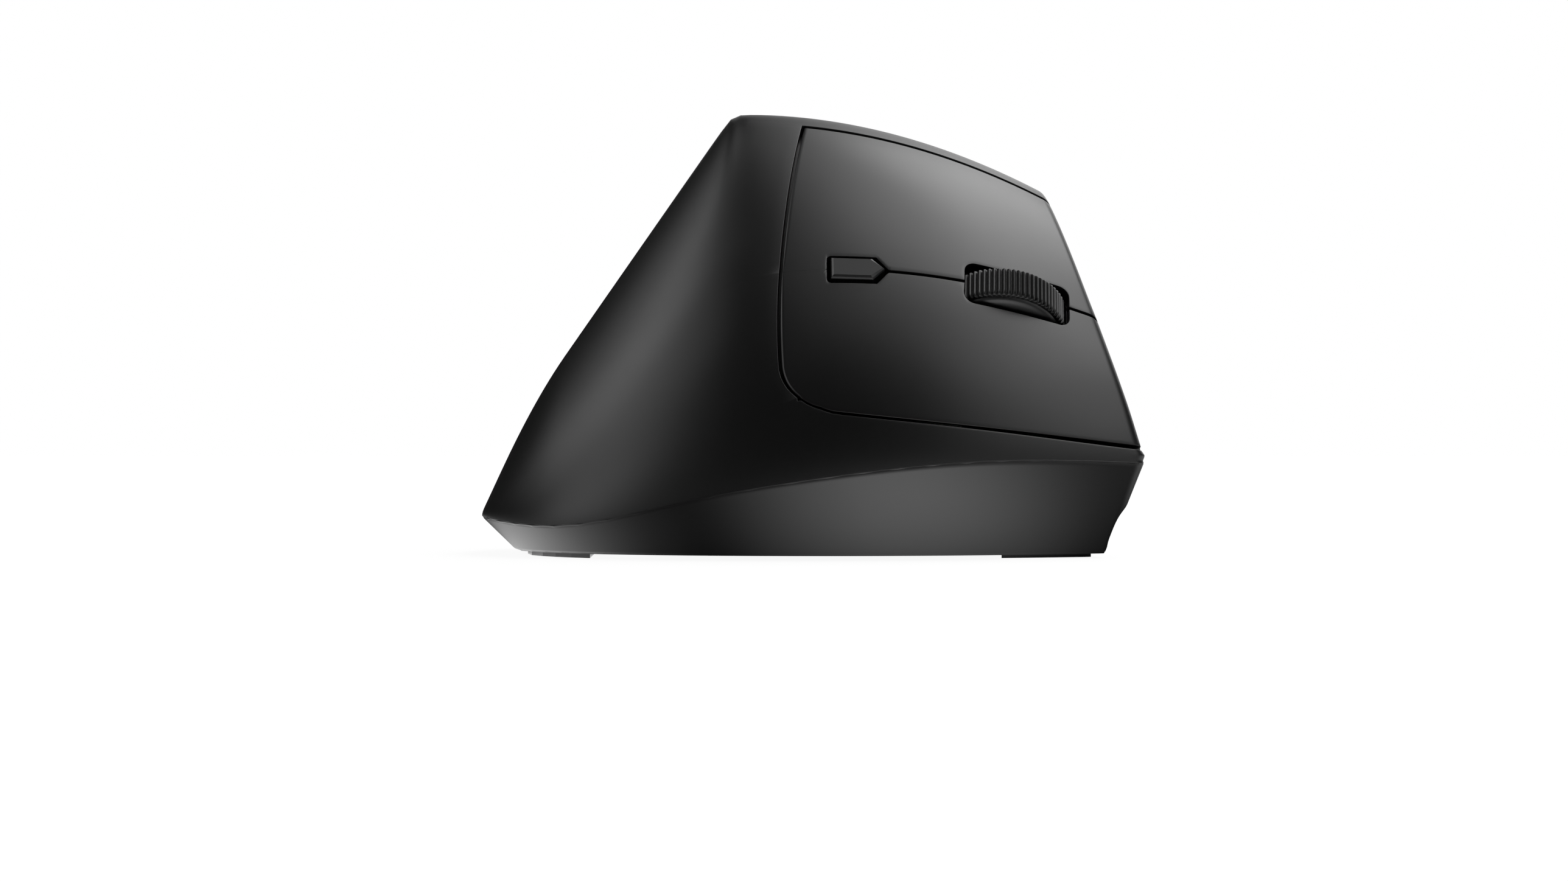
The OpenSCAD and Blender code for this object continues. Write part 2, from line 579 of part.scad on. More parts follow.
// Thumb side
key_edge = seam / 2 / 60;
thumb_rows = concat([1, 0.94, 0.88, 0.8], [thumb_key_high + key_edge, thumb_key_high - key_edge],
  even(thumb_key_high - 0.02, thumb_key_low + 0.02, 3),
  [thumb_key_low + key_edge, thumb_key_low - key_edge], [0.46, 0.34, 0.22, 0.12, 0.05, 0]);
post_us = even(0.3, 1.6, 18);
post_ws = even(0.6, 0.02, 9);
thumb_cuts = [back_key_y, back_key_y + thumb_key_l, back_key_y + 2 * thumb_key_l];
function cut_u(i, s) = wall_u(thumb_cuts[i] + s * seam / 2, 0.66);
panel_cols = concat([0.001, 0.06, 0.14, 0.22, 0.3, 0.4, 0.5, 0.56, 0.6, 0.63, 0.66, 0.68],
  [cut_u(0, -1), cut_u(0, 1)],
  even(cut_u(0, 9), cut_u(1, -9), 3), [cut_u(1, -1), cut_u(1, 1)], even(cut_u(1, 9), cut_u(2, -9), 3),
  [cut_u(2, -1), cut_u(2, 1)], [for (u = even(1, 2, 5)) u], even(2.25, 3, 3));
back_stem = to_thumb(side(thumb_cuts[0] + thumb_key_l / 2, thumb_share));
forward_stem = to_thumb(side(thumb_cuts[1] + thumb_key_l / 2, thumb_share));
thumb_guide = -3.6;
guide_t = 1.2;
thumb_top = -7.4;
thumb_stem_d = 3;
thumb_posts = [[13, -8], [-13, -8], [0, 7.6]];
thumb_board_l = 34;
thumb_board_w = 21;
module thumb_panel() {
  color(black) centred() difference() {
    union() {
      sheet(wall_grid(panel_cols, thumb_rows, 0), wall_inner(panel_cols, thumb_rows, cover_wall),
        [[12, 25, 4, 11]]);
      for (p = thumb_posts) thumbs() translate([p[0], p[1], thumb_guide]) cylinder(d = 5, h = 2.4);
      difference() {
        for (p = panel_posts) translate([p[0], p[1], boss_top]) cylinder(d = boss_d, h = p[2] - boss_top);
        sheet(wall_grid(post_us, post_ws, 12), wall_grid(post_us, post_ws, -1));
      }
    }
    for (p = panel_posts) translate([p[0], p[1], boss_top - 1]) cylinder(d = screw_d, h = 7);
    for (p = thumb_posts) thumbs() translate([p[0], p[1], thumb_guide - 1])
      cylinder(d = screw_d, h = 2.2);
  }
}
module thumb_key(i, stem) {
  us = even(cut_u(i, 1), cut_u(i + 1, -1), 6);
  ws = even(thumb_key_high - key_edge, thumb_key_low + key_edge, 5);
  color(satin) centred() {
    sheet(wall_grid(us, ws, 0.6), wall_grid(us, ws, -1.6));
    thumbs() translate([stem[0], stem[1], thumb_top + tact_low + plunger_up + touch])
      cylinder(d = thumb_stem_d, h = stem[2] - 0.6 - thumb_top - tact_low - plunger_up - touch);
  }
}
module back_button() { thumb_key(0, back_stem); }
module forward_button() { thumb_key(1, forward_stem); }
module thumb_bracket() {
  color(black) centred() thumbs() difference() {
    union() {
      block([-17, 17], [-10.5, 10.5], [thumb_guide - guide_t, thumb_guide]);
      for (p = thumb_posts) translate([p[0], p[1], thumb_top])
        cylinder(d = 5, h = thumb_guide - thumb_top);
    }
    for (p = thumb_posts) translate([p[0], p[1], thumb_top - 1]) cylinder(d = screw_d, h = 6);
    for (s = [back_stem, forward_stem]) translate([s[0], s[1], thumb_guide - guide_t - 1])
      cylinder(d = thumb_stem_d + 2 * run_gap, h = guide_t + 2);
  }
}
module thumb_board() {
  color(green) centred() thumbs() difference() {
    block([-thumb_board_l / 2, thumb_board_l / 2], [-thumb_board_w / 2, thumb_board_w / 2],
      [thumb_top - board_t, thumb_top]);
    for (p = thumb_posts) translate([p[0], p[1], thumb_top - 2]) cylinder(d = screw_d, h = 4);
  }
}
module thumb_screws() {
  color(steel) centred() for (p = thumb_posts) thumbs() translate([p[0], p[1], 0]) {
    translate([0, 0, thumb_top - board_t - 1.2]) cylinder(d = head_d, h = 1.2);
    translate([0, 0, thumb_top - board_t - 0.1])
      cylinder(d = screw_d, h = thumb_guide + 1.1 - thumb_top + board_t);
  }
}

// Small push switch standing on a board
module tact(h) {
  difference() {
    translate([-tact_w / 2, -tact_w / 2, 0]) cube([tact_w, tact_w, h]);
    translate([0, 0, h - tact_pocket]) cylinder(d = tact_d + 2 * run_gap, h = 3);
  }
}
module tact_plunger(h) {
  translate([0, 0, h - tact_stay]) cylinder(d = tact_d, h = tact_stay + plunger_up);
}
module micro_switch() {
  difference() {
    translate([-switch_l / 2, -switch_w / 2, 0]) cube([switch_l, switch_w, switch_h]);
    translate([0, 0, switch_h - 2.2]) cylinder(d = tact_d + 2 * run_gap, h = 4);
  }
}
module micro_plunger() {
  translate([0, 0, switch_h - 1.4]) cylinder(d = tact_d, h = 1.4 + plunger_up);
}
module at_left() { keys() translate([left_press[0], left_press[1], board_top]) children(); }
module at_right() { keys() translate([right_press[0], right_press[1], board_top]) children(); }
module at_speed() { keys() translate([speed_at[0], speed_at[1], board_top]) children(); }
module at_click() { keys() translate([0, wheel_tact_y, board_top]) children(); }
module at_back() { thumbs() translate([back_stem[0], back_stem[1], thumb_top]) children(); }
module at_forward() { thumbs() translate([forward_stem[0], forward_stem[1], thumb_top]) children(); }
module left_switch() { color(chip) centred() at_left() micro_switch(); }
module left_plunger() { color(copper) centred() at_left() micro_plunger(); }
module right_switch() { color(chip) centred() at_right() micro_switch(); }
module right_plunger() { color(copper) centred() at_right() micro_plunger(); }
module speed_switch() { color(chip) centred() at_speed() tact(tact_h); }
module speed_plunger() { color(white) centred() at_speed() tact_plunger(tact_h); }
module wheel_switch() { color(chip) centred() at_click() tact(tact_h); }
module wheel_plunger() { color(white) centred() at_click() tact_plunger(tact_h); }
module back_switch() { color(chip) centred() at_back() tact(tact_low); }
module back_plunger() { color(white) centred() at_back() tact_plunger(tact_low); }
module forward_switch() { color(chip) centred() at_forward() tact(tact_low); }
module forward_plunger() { color(white) centred() at_forward() tact_plunger(tact_low); }

// Speed button with its holder
module speed_button() {
  stem_low = board_top + tact_h + plunger_up + touch;
  color(satin) centred() {
    speeds() hull() {
      translate([0, 0, -speed_skirt]) arrow(0, speed_skirt + speed_proud - speed_bevel);
      arrow(-speed_bevel, speed_proud);
    }
    keys() translate([speed_at[0], speed_at[1], stem_low])
      cylinder(d = stem_d, h = speed_at[2] - 1 - stem_low);
  }
}
holder_t = 1.2;
holder_w = tact_w + 0.3 + 2 * holder_t;
holder_h = 6;
module speed_holder() {
  color(black) centred() keys() translate([speed_at[0], speed_at[1], board_top]) difference() {
    translate([-holder_w / 2, -holder_w / 2, 0]) cube([holder_w, holder_w, holder_h]);
    translate([-holder_w / 2 + holder_t, -holder_w / 2 + holder_t, -1])
      cube([holder_w - 2 * holder_t, holder_w - 2 * holder_t, holder_h - holder_t + 1]);
    cylinder(d = stem_d + 2 * run_gap, h = holder_h + 1);
  }
}

// Wheel
module at_wheel() { keys() translate([0, 0, wheel_z]) rotate([90, 0, 0]) children(); }
module wheel_tyre() {
  r = wheel_r - rib_h;
  corners = [for (i = [0 : 4 * ribs - 1])
    (i % 4 < 2 ? wheel_r : r) * [cos(90 * i / ribs), sin(90 * i / ribs)]];
  color(rubber) centred() at_wheel() difference() {
    translate([0, 0, -tyre_w / 2]) linear_extrude(tyre_w) polygon(corners);
    translate([0, 0, -tyre_w]) cylinder(r = wheel_r - tyre_t, h = 2 * tyre_w, $fn = 64);
  }
}
hub_r = wheel_r - tyre_t;
module wheel_hub() {
  color(satin) centred() at_wheel() difference() {
    union() {
      translate([0, 0, -tyre_w / 2]) cylinder(r = hub_r, h = tyre_w, $fn = 64);
      cylinder(d = axle_d + 3, h = 2 * arm_in - 0.4, center = true);
    }
    cylinder(d = axle_d, h = 30, center = true);
    for (s = [0, 180]) rotate([s, 0, 0]) translate([0, 0, 1]) difference() {
      cylinder(r = hub_r - 1.4, h = 9);
      cylinder(d = axle_d + 3, h = 9);
    }
    for (i = [0 : 9]) rotate(36 * i) translate([hub_r - 3.4, -0.9, -5]) cube([1.7, 1.8, 10]);
  }
}
module wheel_axle() {
  color(steel) centred() at_wheel() cylinder(d = axle_d, h = 2 * arm_out - 0.4, center = true);
}
yoke_low = wheel_z - wheel_r - 3;
module wheel_yoke() {
  tab_low = board_top + tact_h + plunger_up + touch;
  arm_t = arm_out - arm_in;
  hook_t = 2.4;
  color(black) centred() keys() difference() {
    union() {
      for (s = [-1, 1]) {
        y = s * (arm_in + arm_out) / 2 - arm_t / 2;
        translate([0, s * (arm_in + arm_out) / 2, wheel_z]) bar_y(arm_w, arm_t);
        translate([-arm_w / 2, y, yoke_low]) cube([arm_w, arm_t, wheel_z - yoke_low]);
        translate([-arm_w / 2 - hook_t, y, frame_low - touch - hook_t])
          cube([arm_w + 2 * hook_t, arm_t, hook_t]);
      }
      block([-arm_w / 2, arm_w / 2], [-arm_out, arm_out], [yoke_low, yoke_low + 2]);
      block([-2.2, 2.2], [arm_out - 0.5, wheel_tact_y + tact_w / 2 - 0.6], [tab_low, tab_low + 1.6]);
    }
    translate([0, 0, wheel_z]) bar_y(axle_d + 2 * run_gap, 40);
  }
}
encoder_in = arm_out + 0.8;
encoder_out = encoder_in + 2.8;
module encoder_emitter() {
  color(chip) centred() keys() block([-11, -7], [encoder_in, encoder_out], [board_top, board_top + 6]);
}
module encoder_detector() {
  color(chip) centred() keys() block([-11, -7], [-encoder_out, -encoder_in], [board_top, board_top + 6]);
}

// Frame and board behind the key plates
module wheel_gap(z, h) {
  block([-wheel_r - 1, 30], [-tyre_w / 2 - 1.4, tyre_w / 2 + 1.4], [z, z + h]);
  block([-arm_w / 2 - 0.1, arm_w / 2 + 0.1], [-arm_out - 0.1, arm_out + 0.1], [z, z + h]);
}
module key_board() {
  color(green) centred() keys() difference() {
    block([board_rear, board_front], [-board_half, board_half], [frame_top, board_top]);
    wheel_gap(frame_top - 1, 4);
  }
}
module key_frame() {
  color(black) centred() difference() {
    union() {
      keys() block([board_rear, board_front], [-board_half, board_half], [frame_low, frame_top]);
      for (y = [-18.2, -2.5, 14.6]) keys() {
        block([pivot_x - 2.6, board_rear + 0.5], [y, y + 3.4], [frame_low, frame_top]);
        block([pivot_x - 2.6, board_rear - 0.1], [y, y + 3.4], [frame_low, pivot_z + 2.4]);
      }
      difference() {
        for (p = leg_spots)
          translate([p[0] - leg_w / 2, p[1] - leg_w / 2, floor_z]) cube([leg_w, leg_w, 60]);
        keys() block([-80, 60], [-60, 60], [frame_low + 1, 60]);
      }
    }
    keys() wheel_gap(frame_low - 1, 5);
    keys() translate([pivot_x, 0, pivot_z]) bar_y(rod_d, 60);
    for (p = leg_spots) translate([p[0], p[1], floor_z - 1]) cylinder(d = screw_d, h = 7);
  }
}
module pivot_rod() { color(steel) centred() keys() translate([pivot_x, 0.25, pivot_z]) bar_y(rod_d, 35); }

// Base
dock_top = foot_t + receiver_t + bay_gap;
function dock_x(w) = [receiver_x, receiver_x] + (receiver_w / 2 + bay_gap + w) * [-1, 1];
function dock_y(w) = [receiver_y, receiver_y] + (receiver_l / 2 + bay_gap + w) * [-1, 1];
function bay_x(w) = [battery_x, battery_x] + (bay_w / 2 + w) * [-1, 1];
function bay_y(w) = [bay_rear - w, bay_front + w];
knob_w = 4;
knob_l = 5;
stem_w = 1.4;
lens_d = 7.8;
contact_z = 9;
module screw_well(p, top) {
  translate([p[0], p[1], foot_t - 1]) cylinder(d = head_d + 0.4, h = 2.4);
  translate([p[0], p[1], foot_t]) cylinder(d = screw_d + 0.4, h = top);
}
module lower_case() {
  rings = concat([flat_ring(floor_z, 1 - case_share), case_ring(0, 1 - case_share)],
    [for (t = [0, 0.25, 0.45, 0.56, 0.66, 0.75, 0.83, 0.9, 0.95, 1]) case_ring(t, 1)]);
  color(black) centred() difference() {
    union() {
      loft(rings, [[0, 0, floor_z], [0, 0, foot_t]]);
      for (p = all_posts)
        translate([p[0], p[1], foot_t + 0.5]) cylinder(d = boss_d, h = boss_top - foot_t - 0.5);
      block(dock_x(dock_wall), dock_y(dock_wall), [foot_t + 0.5, dock_top + dock_wall]);
      block(bay_x(cradle_t), bay_y(cradle_t), [foot_t + 0.5, cradle_top]);
      for (x = [-23, 23], y = [12, 28])
        translate([x, y, floor_z - 0.5]) cylinder(d = 4, h = main_z - floor_z + 0.5);
    }
    for (p = all_posts) screw_well(p, boss_top);
    for (p = leg_spots) screw_well(p, floor_t + 1);
    block(dock_x(0), dock_y(0), [foot_t - 1, dock_top]);
    block(bay_x(0), bay_y(0), [foot_t - 1, cradle_top + 1]);
    block(bay_x(4), [bay_front - 1, bay_front + cradle_t + 1], [contact_z, 20]);
    block(bay_x(ledge), bay_y(ledge), [foot_t - 1, door_top]);
    translate([sensor_x, sensor_y, 0]) cylinder(d = lens_d + bay_gap, h = 10);
    block([power_x - knob_w / 2 - bay_gap, power_x + knob_w / 2 + bay_gap],
      [power_y - knob_l / 2 - bay_gap, power_y + knob_l / 2 + power_travel + bay_gap], [0, 10]);
  }
}
module battery_door() {
  color(black) centred() difference() {
    block(bay_x(ledge - bay_gap), bay_y(ledge - bay_gap), [foot_t, door_top]);
    translate([battery_x, bay_front - 4, foot_t - 0.1]) pill(9, 2, 0.99, 0.6);
  }
}
module battery() {
  color(steel) centred() translate([battery_x, battery_y - battery_l / 2, battery_z]) rotate([-90, 0, 0]) {
    cylinder(d = battery_d, h = battery_l - 1.4);
    cylinder(d = 5.2, h = battery_l);
  }
}
module front_contact() {
  y = bay_front - contact_t;
  x = [battery_x - 3, battery_x + 3];
  color(copper) centred() {
    block([battery_x - 5, battery_x + 5], [y, bay_front], [4, contact_z + contact_t]);
    block(x, [y, bay_front + 4 + contact_t], [contact_z, contact_z + contact_t]);
    block(x, [bay_front + 4, bay_front + 4 + contact_t], [main_top, contact_z + contact_t]);
  }
}
module rear_contact() {
  x = battery_x - bay_w / 2 - cradle_t;
  top = cradle_top + contact_t;
  turns = 3;
  coil = [for (i = [0 : 16 * turns]) let (t = i / (16 * turns), r = lerp(4.4, 3, t), a = 360 * turns * t)
    [battery_x + r * cos(a), bay_rear + contact_t + 0.1 + (coil_l - 0.45) * t, battery_z + r * sin(a)]];
  color(copper) centred() {
    block([battery_x - 5, battery_x + 5], [bay_rear, bay_rear + contact_t], [4, top]);
    block([x - contact_t, battery_x], [bay_rear, bay_rear + 2], [cradle_top, top]);
    block([x - contact_t, x], [bay_rear, bay_front + 6], [cradle_top - 2, top]);
    block([x - contact_t, x], [bay_front + 4, bay_front + 6], [main_top, cradle_top]);
    wire(coil, 0.3);
  }
}
module main_board() {
  color(green) centred() difference() {
    block([-24.5, 25], [bay_front + cradle_t + 0.4, 31], [main_z, main_top]);
    translate([sensor_x, sensor_y, main_z - 1]) cylinder(d = 5, h = 4);
  }
}
module sensor_lens() {
  color(clear) centred() difference() {
    union() {
      block([sensor_x - 7, sensor_x + 7], [sensor_y - 6, sensor_y + 6], [floor_z, main_z]);
      translate([sensor_x, sensor_y, foot_t + 0.9]) cylinder(d = lens_d, h = floor_t);
    }
    translate([sensor_x, sensor_y, floor_z + 0.8]) cylinder(d = 5, h = 4);
  }
}
module sensor_chip() {
  color(chip) centred() block([sensor_x - 5, sensor_x + 5], [sensor_y - 4.6, sensor_y + 4.6],
    [main_top, main_top + 2.6]);
}
radio_w = 7;
module radio_chip() {
  x = key_drop[0] - ribbon_t;
  color(chip) centred() block([x - radio_w, x], [22, 22 + radio_w], [main_top, main_top + 1]);
}
module power_switch() {
  slit = stem_w / 2 + bay_gap;
  color(steel) centred() difference() {
    block([power_x - 3.2, power_x + 3.2], [power_y - 4.5, power_y + 4.5 + power_travel],
      [floor_z + 0.7, main_z]);
    block([power_x - slit, power_x + slit], [power_y - slit, power_y + slit + power_travel],
      [floor_z, floor_z + 2.2]);
  }
}
module power_slider() {
  flange = 0.9;
  color(satin) centred() translate([power_x, power_y, 0]) {
    block([-knob_w / 2, knob_w / 2], [-knob_l / 2, knob_l / 2], [foot_t + 0.2, floor_z + 0.1]);
    block([-knob_w / 2 - flange, knob_w / 2 + flange], [-knob_l / 2 - flange, knob_l / 2 + flange],
      [floor_z + 0.05, floor_z + 0.6]);
    block([-stem_w / 2, stem_w / 2], [-stem_w / 2, stem_w / 2], [floor_z + 0.5, floor_z + 2]);
  }
}
receiver_front = receiver_y + receiver_l / 2;
cap_rear = receiver_front - 8;
module receiver_cap() {
  color(black) centred() block([receiver_x - receiver_w / 2, receiver_x + receiver_w / 2],
    [cap_rear, receiver_front], [foot_t, foot_t + receiver_t]);
}
module receiver_plug() {
  z = foot_t + receiver_t / 2;
  color(steel) centred() block([receiver_x - 6, receiver_x + 6], [receiver_y - receiver_l / 2, cap_rear],
    [z - 2.25, z + 2.25]);
}
function foot_outline(near, far, share) = let (o = case_ring(1, 0.965))
  [for (p = o) if (p[1] > near && p[1] < far) [share * p[0], p[1]]];
module front_foot() {
  color(rubber) centred() difference() {
    linear_extrude(foot_t) polygon(foot_outline(31, 80, front_foot_share));
    block([-14, 12], [0, 44], [-1, 3]);
  }
}
module rear_foot() {
  color(rubber) centred() difference() {
    linear_extrude(foot_t) polygon(foot_outline(-80, -38, 1));
    block([-15.5, 3.5], [-49.2, 0], [-1, 3]);
  }
}
module base_screw(p, top) {
  translate([p[0], p[1], foot_t + 0.2]) cylinder(d = head_d, h = 1.2);
  translate([p[0], p[1], foot_t + 1]) cylinder(d = screw_d, h = top - foot_t - 1);
}
module case_screws() { color(steel) centred() for (p = all_posts) base_screw(p, boss_top + 5); }
module frame_screws() { color(steel) centred() for (p = leg_spots) base_screw(p, floor_z + 5); }

// Flat cables
ribbon_t = 0.3;
lift = ribbon_t / 2;
key_drop = from_keys([-8, -board_half - 0.5, frame_low - 1]);
module key_ribbon() {
  x = key_drop[0];
  y = key_drop[1];
  ahead = [0, 1, 0];
  out = [1, 0, 0];
  up = [0, 0, 1];
  color(white) centred() strip([[from_keys([-8, -board_half + 3, board_top + lift]), key_f, key_n],
    [from_keys([-8, -board_half - 0.1, board_top + lift]), key_f, key_n],
    [from_keys([-8, -board_half - 0.4, board_top - 0.1]), key_f, unit(key_n - key_a)],
    [from_keys([-8, -board_half - 0.5, board_top - 0.6]), key_f, -key_a],
    [key_drop, key_f, -key_a],
    [[x + 0.6, y, 18], unit([-0.15, 1, 0]), out],
    [[x + 0.8, y, main_top + 1.6], ahead, out],
    [[x + 1.2, y, main_top + 0.5], ahead, unit(out + up)],
    [[x + 2, y, main_top + lift], ahead, up],
    [[x + 4, y, main_top + lift], ahead, up]], 8, ribbon_t);
}
function from_thumb(p) = thumb_o + p[0] * thumb_f + p[1] * thumb_a + p[2] * thumb_n;
thumb_back = thumb_top - board_t - lift;
module thumb_ribbon() {
  e = from_thumb([-5, -thumb_board_w / 2 - 3, thumb_back]);
  ahead = [0, 1, 0];
  out = [1, 0, 0];
  up = [0, 0, 1];
  color(white) centred() strip([[from_thumb([-5, -5, thumb_back]), -thumb_f, -thumb_n],
    [e, -thumb_f, -thumb_n],
    [[e[0], e[1], 20], ahead, out],
    [[e[0] + 0.2, e[1], main_top + 1.6], ahead, out],
    [[e[0] + 0.6, e[1], main_top + 0.5], ahead, unit(out + up)],
    [[e[0] + 1.4, e[1], main_top + lift], ahead, up],
    [[e[0] + 4, e[1], main_top + lift], ahead, up]], 6, ribbon_t);
}

palm_cover();
left_key();
right_key();
thumb_panel();
lower_case();
battery_door();
speed_button();
back_button();
forward_button();
wheel_tyre();
wheel_hub();
wheel_axle();
wheel_yoke();
key_frame();
pivot_rod();
key_board();
left_switch();
left_plunger();
right_switch();
right_plunger();
speed_holder();
speed_switch();
speed_plunger();
wheel_switch();
wheel_plunger();
encoder_emitter();
encoder_detector();
thumb_bracket();
thumb_board();
back_switch();
back_plunger();
forward_switch();
forward_plunger();
main_board();
sensor_lens();
sensor_chip();
radio_chip();
power_switch();
power_slider();
battery();
front_contact();
rear_contact();
receiver_cap();
receiver_plug();
front_foot();
rear_foot();
case_screws();
frame_screws();
thumb_screws();
key_ribbon();
thumb_ribbon();
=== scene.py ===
# %% Load the solids
import bmesh
import bpy
import numpy as np
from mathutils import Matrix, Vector


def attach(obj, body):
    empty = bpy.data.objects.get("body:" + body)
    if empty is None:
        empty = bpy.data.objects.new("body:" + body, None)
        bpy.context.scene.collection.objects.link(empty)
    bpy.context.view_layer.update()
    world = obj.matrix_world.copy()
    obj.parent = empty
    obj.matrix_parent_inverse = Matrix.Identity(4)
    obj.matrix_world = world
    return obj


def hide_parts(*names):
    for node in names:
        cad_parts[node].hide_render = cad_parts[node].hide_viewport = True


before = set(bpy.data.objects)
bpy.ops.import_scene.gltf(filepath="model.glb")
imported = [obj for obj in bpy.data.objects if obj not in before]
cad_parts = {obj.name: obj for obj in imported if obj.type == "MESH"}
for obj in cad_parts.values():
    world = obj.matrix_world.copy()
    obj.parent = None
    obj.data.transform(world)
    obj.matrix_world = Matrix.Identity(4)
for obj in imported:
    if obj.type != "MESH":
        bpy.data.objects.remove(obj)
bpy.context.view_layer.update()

scene, join = bpy.context.scene, np.concatenate

# %% [markdown]
# # An upright mouse in satin black plastic
# The object is a wireless mouse for the right hand, seen from its finger side.
# Its solids are already right in size, but flat facets show in soft light. A subdivision
# modifier would round them off and move the seams, so every large shell is worked out again
# here as a smooth numpy surface from the same guide curves. The inner parts keep their solids.

# %% [markdown]
# ## Sizes
# All guide curves are written in millimetres, with the front towards +Y, the finger side
# towards +X and the desk at zero. The solids are moved a little forward so that the middle
# of the length is at the origin, and the same move is made when a mesh is stored.

# %% Sizes of the body
TAIL, NOSE = -60.0, 57.2
FORWARD = np.array([0.0, (-TAIL - NOSE) / 2, 0.0])
MILLIMETRE = 0.001
RIDGE_TOP = 80.67
print("body", NOSE - TAIL, "mm long,", RIDGE_TOP, "mm tall")

# %% [markdown]
# ## Guide curves
# A moulded shell is drawn from a few guide curves: the ridge, the two creases above the
# skirt, and the plan of each side. Each is a plain function of the place along the body,
# so a whole grid of points comes from one array expression, where Blender's own curves
# would have to be sampled first.

# %% Helpers for curves
def mix(a, b, t):
    """The straight blend from a to b."""
    return a + (b - a) * t


def ease(t):
    """The smooth step 3 t^2 - 2 t^3, held between 0 and 1."""
    t = np.clip(t, 0, 1)
    return t * t * (3 - 2 * t)


def spline(places, heights):
    """The natural cubic through given places: bends solve the usual three-term equations."""
    x, z = np.array(places, float), np.array(heights, float)
    h = np.diff(x)
    slopes = np.diff(z) / h
    middle = np.diag(2 * (h[:-1] + h[1:])) + np.diag(h[1:-1], 1) + np.diag(h[1:-1], -1)
    bend = join([[0], np.linalg.solve(middle, 6 * np.diff(slopes)), [0]])

    def curve(y):
        y = np.asarray(y, float)
        i = np.clip(np.searchsorted(x, y, side="right") - 1, 0, len(h) - 1)
        u = (y - x[i]) / h[i]
        v = 1 - u
        cubic = (v ** 3 - v) * bend[i] + (u ** 3 - u) * bend[i + 1]
        return v * z[i] + u * z[i + 1] + cubic * h[i] ** 2 / 6
    return curve


def unit(v):
    """Vectors of length one."""
    return v / np.maximum(np.linalg.norm(v, axis=-1, keepdims=True), 1e-12)


print("a quarter eased:", ease(0.25))

# %% Creases and ridge
PEAK_Y, RIDGE_RADIUS, RIDGE_X, RIDGE_TURN = -12.0, 106.4, -8.0, 4.6
BACK_SLOPE, BACK_Y, TAIL_BEND, TAIL_DROP, PEAK_ROUND = 55.4, -14.8, 14.5, 6.8, 1.2
right_crease = spline([TAIL, -45, -25, 0, 30, 57], [7, 5.9, 9.6, 14.1, 17.1, 16.7])
left_crease = spline([TAIL, -45, -25, 0, 30, 57], [7, 5.9, 7, 9.5, 12.5, 14])


def ridge_x(y):
    """A straight line seen from above, turned by a few degrees."""
    return RIDGE_X - np.tan(np.radians(RIDGE_TURN)) * y


def ridge_z(y, softness=PEAK_ROUND):
    """The lower of an arch and a straight back, with the corner between them made soft."""
    arch = RIDGE_TOP - (y - PEAK_Y) ** 2 / (2 * RIDGE_RADIUS)
    drop = TAIL_DROP * (np.maximum(0, TAIL_BEND + TAIL - y) / TAIL_BEND) ** 2
    back = RIDGE_TOP + np.tan(np.radians(BACK_SLOPE)) * (y - BACK_Y) - drop
    return (arch + back - np.sqrt((arch - back) ** 2 + softness ** 2)) / 2


print("ridge at the peak", float(ridge_z(np.float64(PEAK_Y))), "mm")

# %% Plan of each side
WIDEST_Y = 2.0
RIGHT_PLAN, LEFT_PLAN = (36.0, 2.0, 117.6), (36.0, 8.0, 139.0)


def plan(y, reach, tail, radius):
    """A circle in front of the widest place and a rounded quarter behind it."""
    rear = np.clip((WIDEST_Y - y) / (WIDEST_Y - TAIL), 0, 1)
    behind = tail + (reach - tail) * np.sqrt(np.maximum(0, 1 - rear ** 2.2))
    return np.where(y > WIDEST_Y, reach - (y - WIDEST_Y) ** 2 / (2 * radius), behind)


def right_x(y):
    """The finger side's plan: its reach, its width at the tail and its front radius."""
    return plan(y, *RIGHT_PLAN)


def left_x(y):
    """The thumb side's plan, on the other side."""
    return -plan(y, *LEFT_PLAN)


print("width", float(right_x(WIDEST_Y) - left_x(WIDEST_Y)), "mm")

# %% [markdown]
# ## The two sides as surfaces
# The finger side runs from the right crease up to the ridge as a superellipse arc. The
# thumb side goes on from the ridge with a round shoulder, a hollow and a flared ledge.
# A share of 0 is the right crease, 1 the ridge and 2 the left crease, so one pair of
# numbers names any place on the whole upper skin.

# %% Upper skin
RIDGE_ROUND, SIDE_ROUND, FADE_SHARE, FADE_LENGTH = 0.012, 9.0, 0.35, 40
SHOULDER_SHARE = 0.15
SPLIT, WHEEL_Y = 0.55, 35.5


def skin(y, share):
    """Finger side: x falls as (1 - s^1.8)^(1/1.3). Thumb side: x spreads by a quarter
    circle, an even slope and a fifth power. Heights go straight between the curves. The
    ridge is rounded a little, and the peak's corner dies away below it."""
    s = np.clip(share, 0, 1)
    fall = np.maximum(0, 1 - s ** 1.8)
    fall = np.sqrt(fall) * ((fall + RIDGE_ROUND) / (1 + RIDGE_ROUND)) ** (1 / 1.3 - 0.5)
    finger_x = ridge_x(y) + (right_x(y) - ridge_x(y)) * fall
    fade = ease((1 - s) / FADE_SHARE) * (1 - ease(np.abs(y - BACK_Y) / FADE_LENGTH))
    softness = mix(PEAK_ROUND, SIDE_ROUND, fade)
    finger_z = mix(right_crease(y), ridge_z(y, softness), s)
    p = np.clip(share - 1, 0, 1)
    round_part = np.sqrt(np.maximum(0, 1 - np.maximum(0, 1 - p / SHOULDER_SHARE) ** 2))
    spread = 0.27 * round_part + 0.08 * p + 0.65 * p ** 5
    thumb_x = mix(ridge_x(y), left_x(y), spread)
    thumb_z = mix(ridge_z(y), left_crease(y), p)
    x = np.where(share > 1, thumb_x, finger_x)
    z = np.where(share > 1, thumb_z, finger_z)
    return np.stack(np.broadcast_arrays(x, y, z), -1)


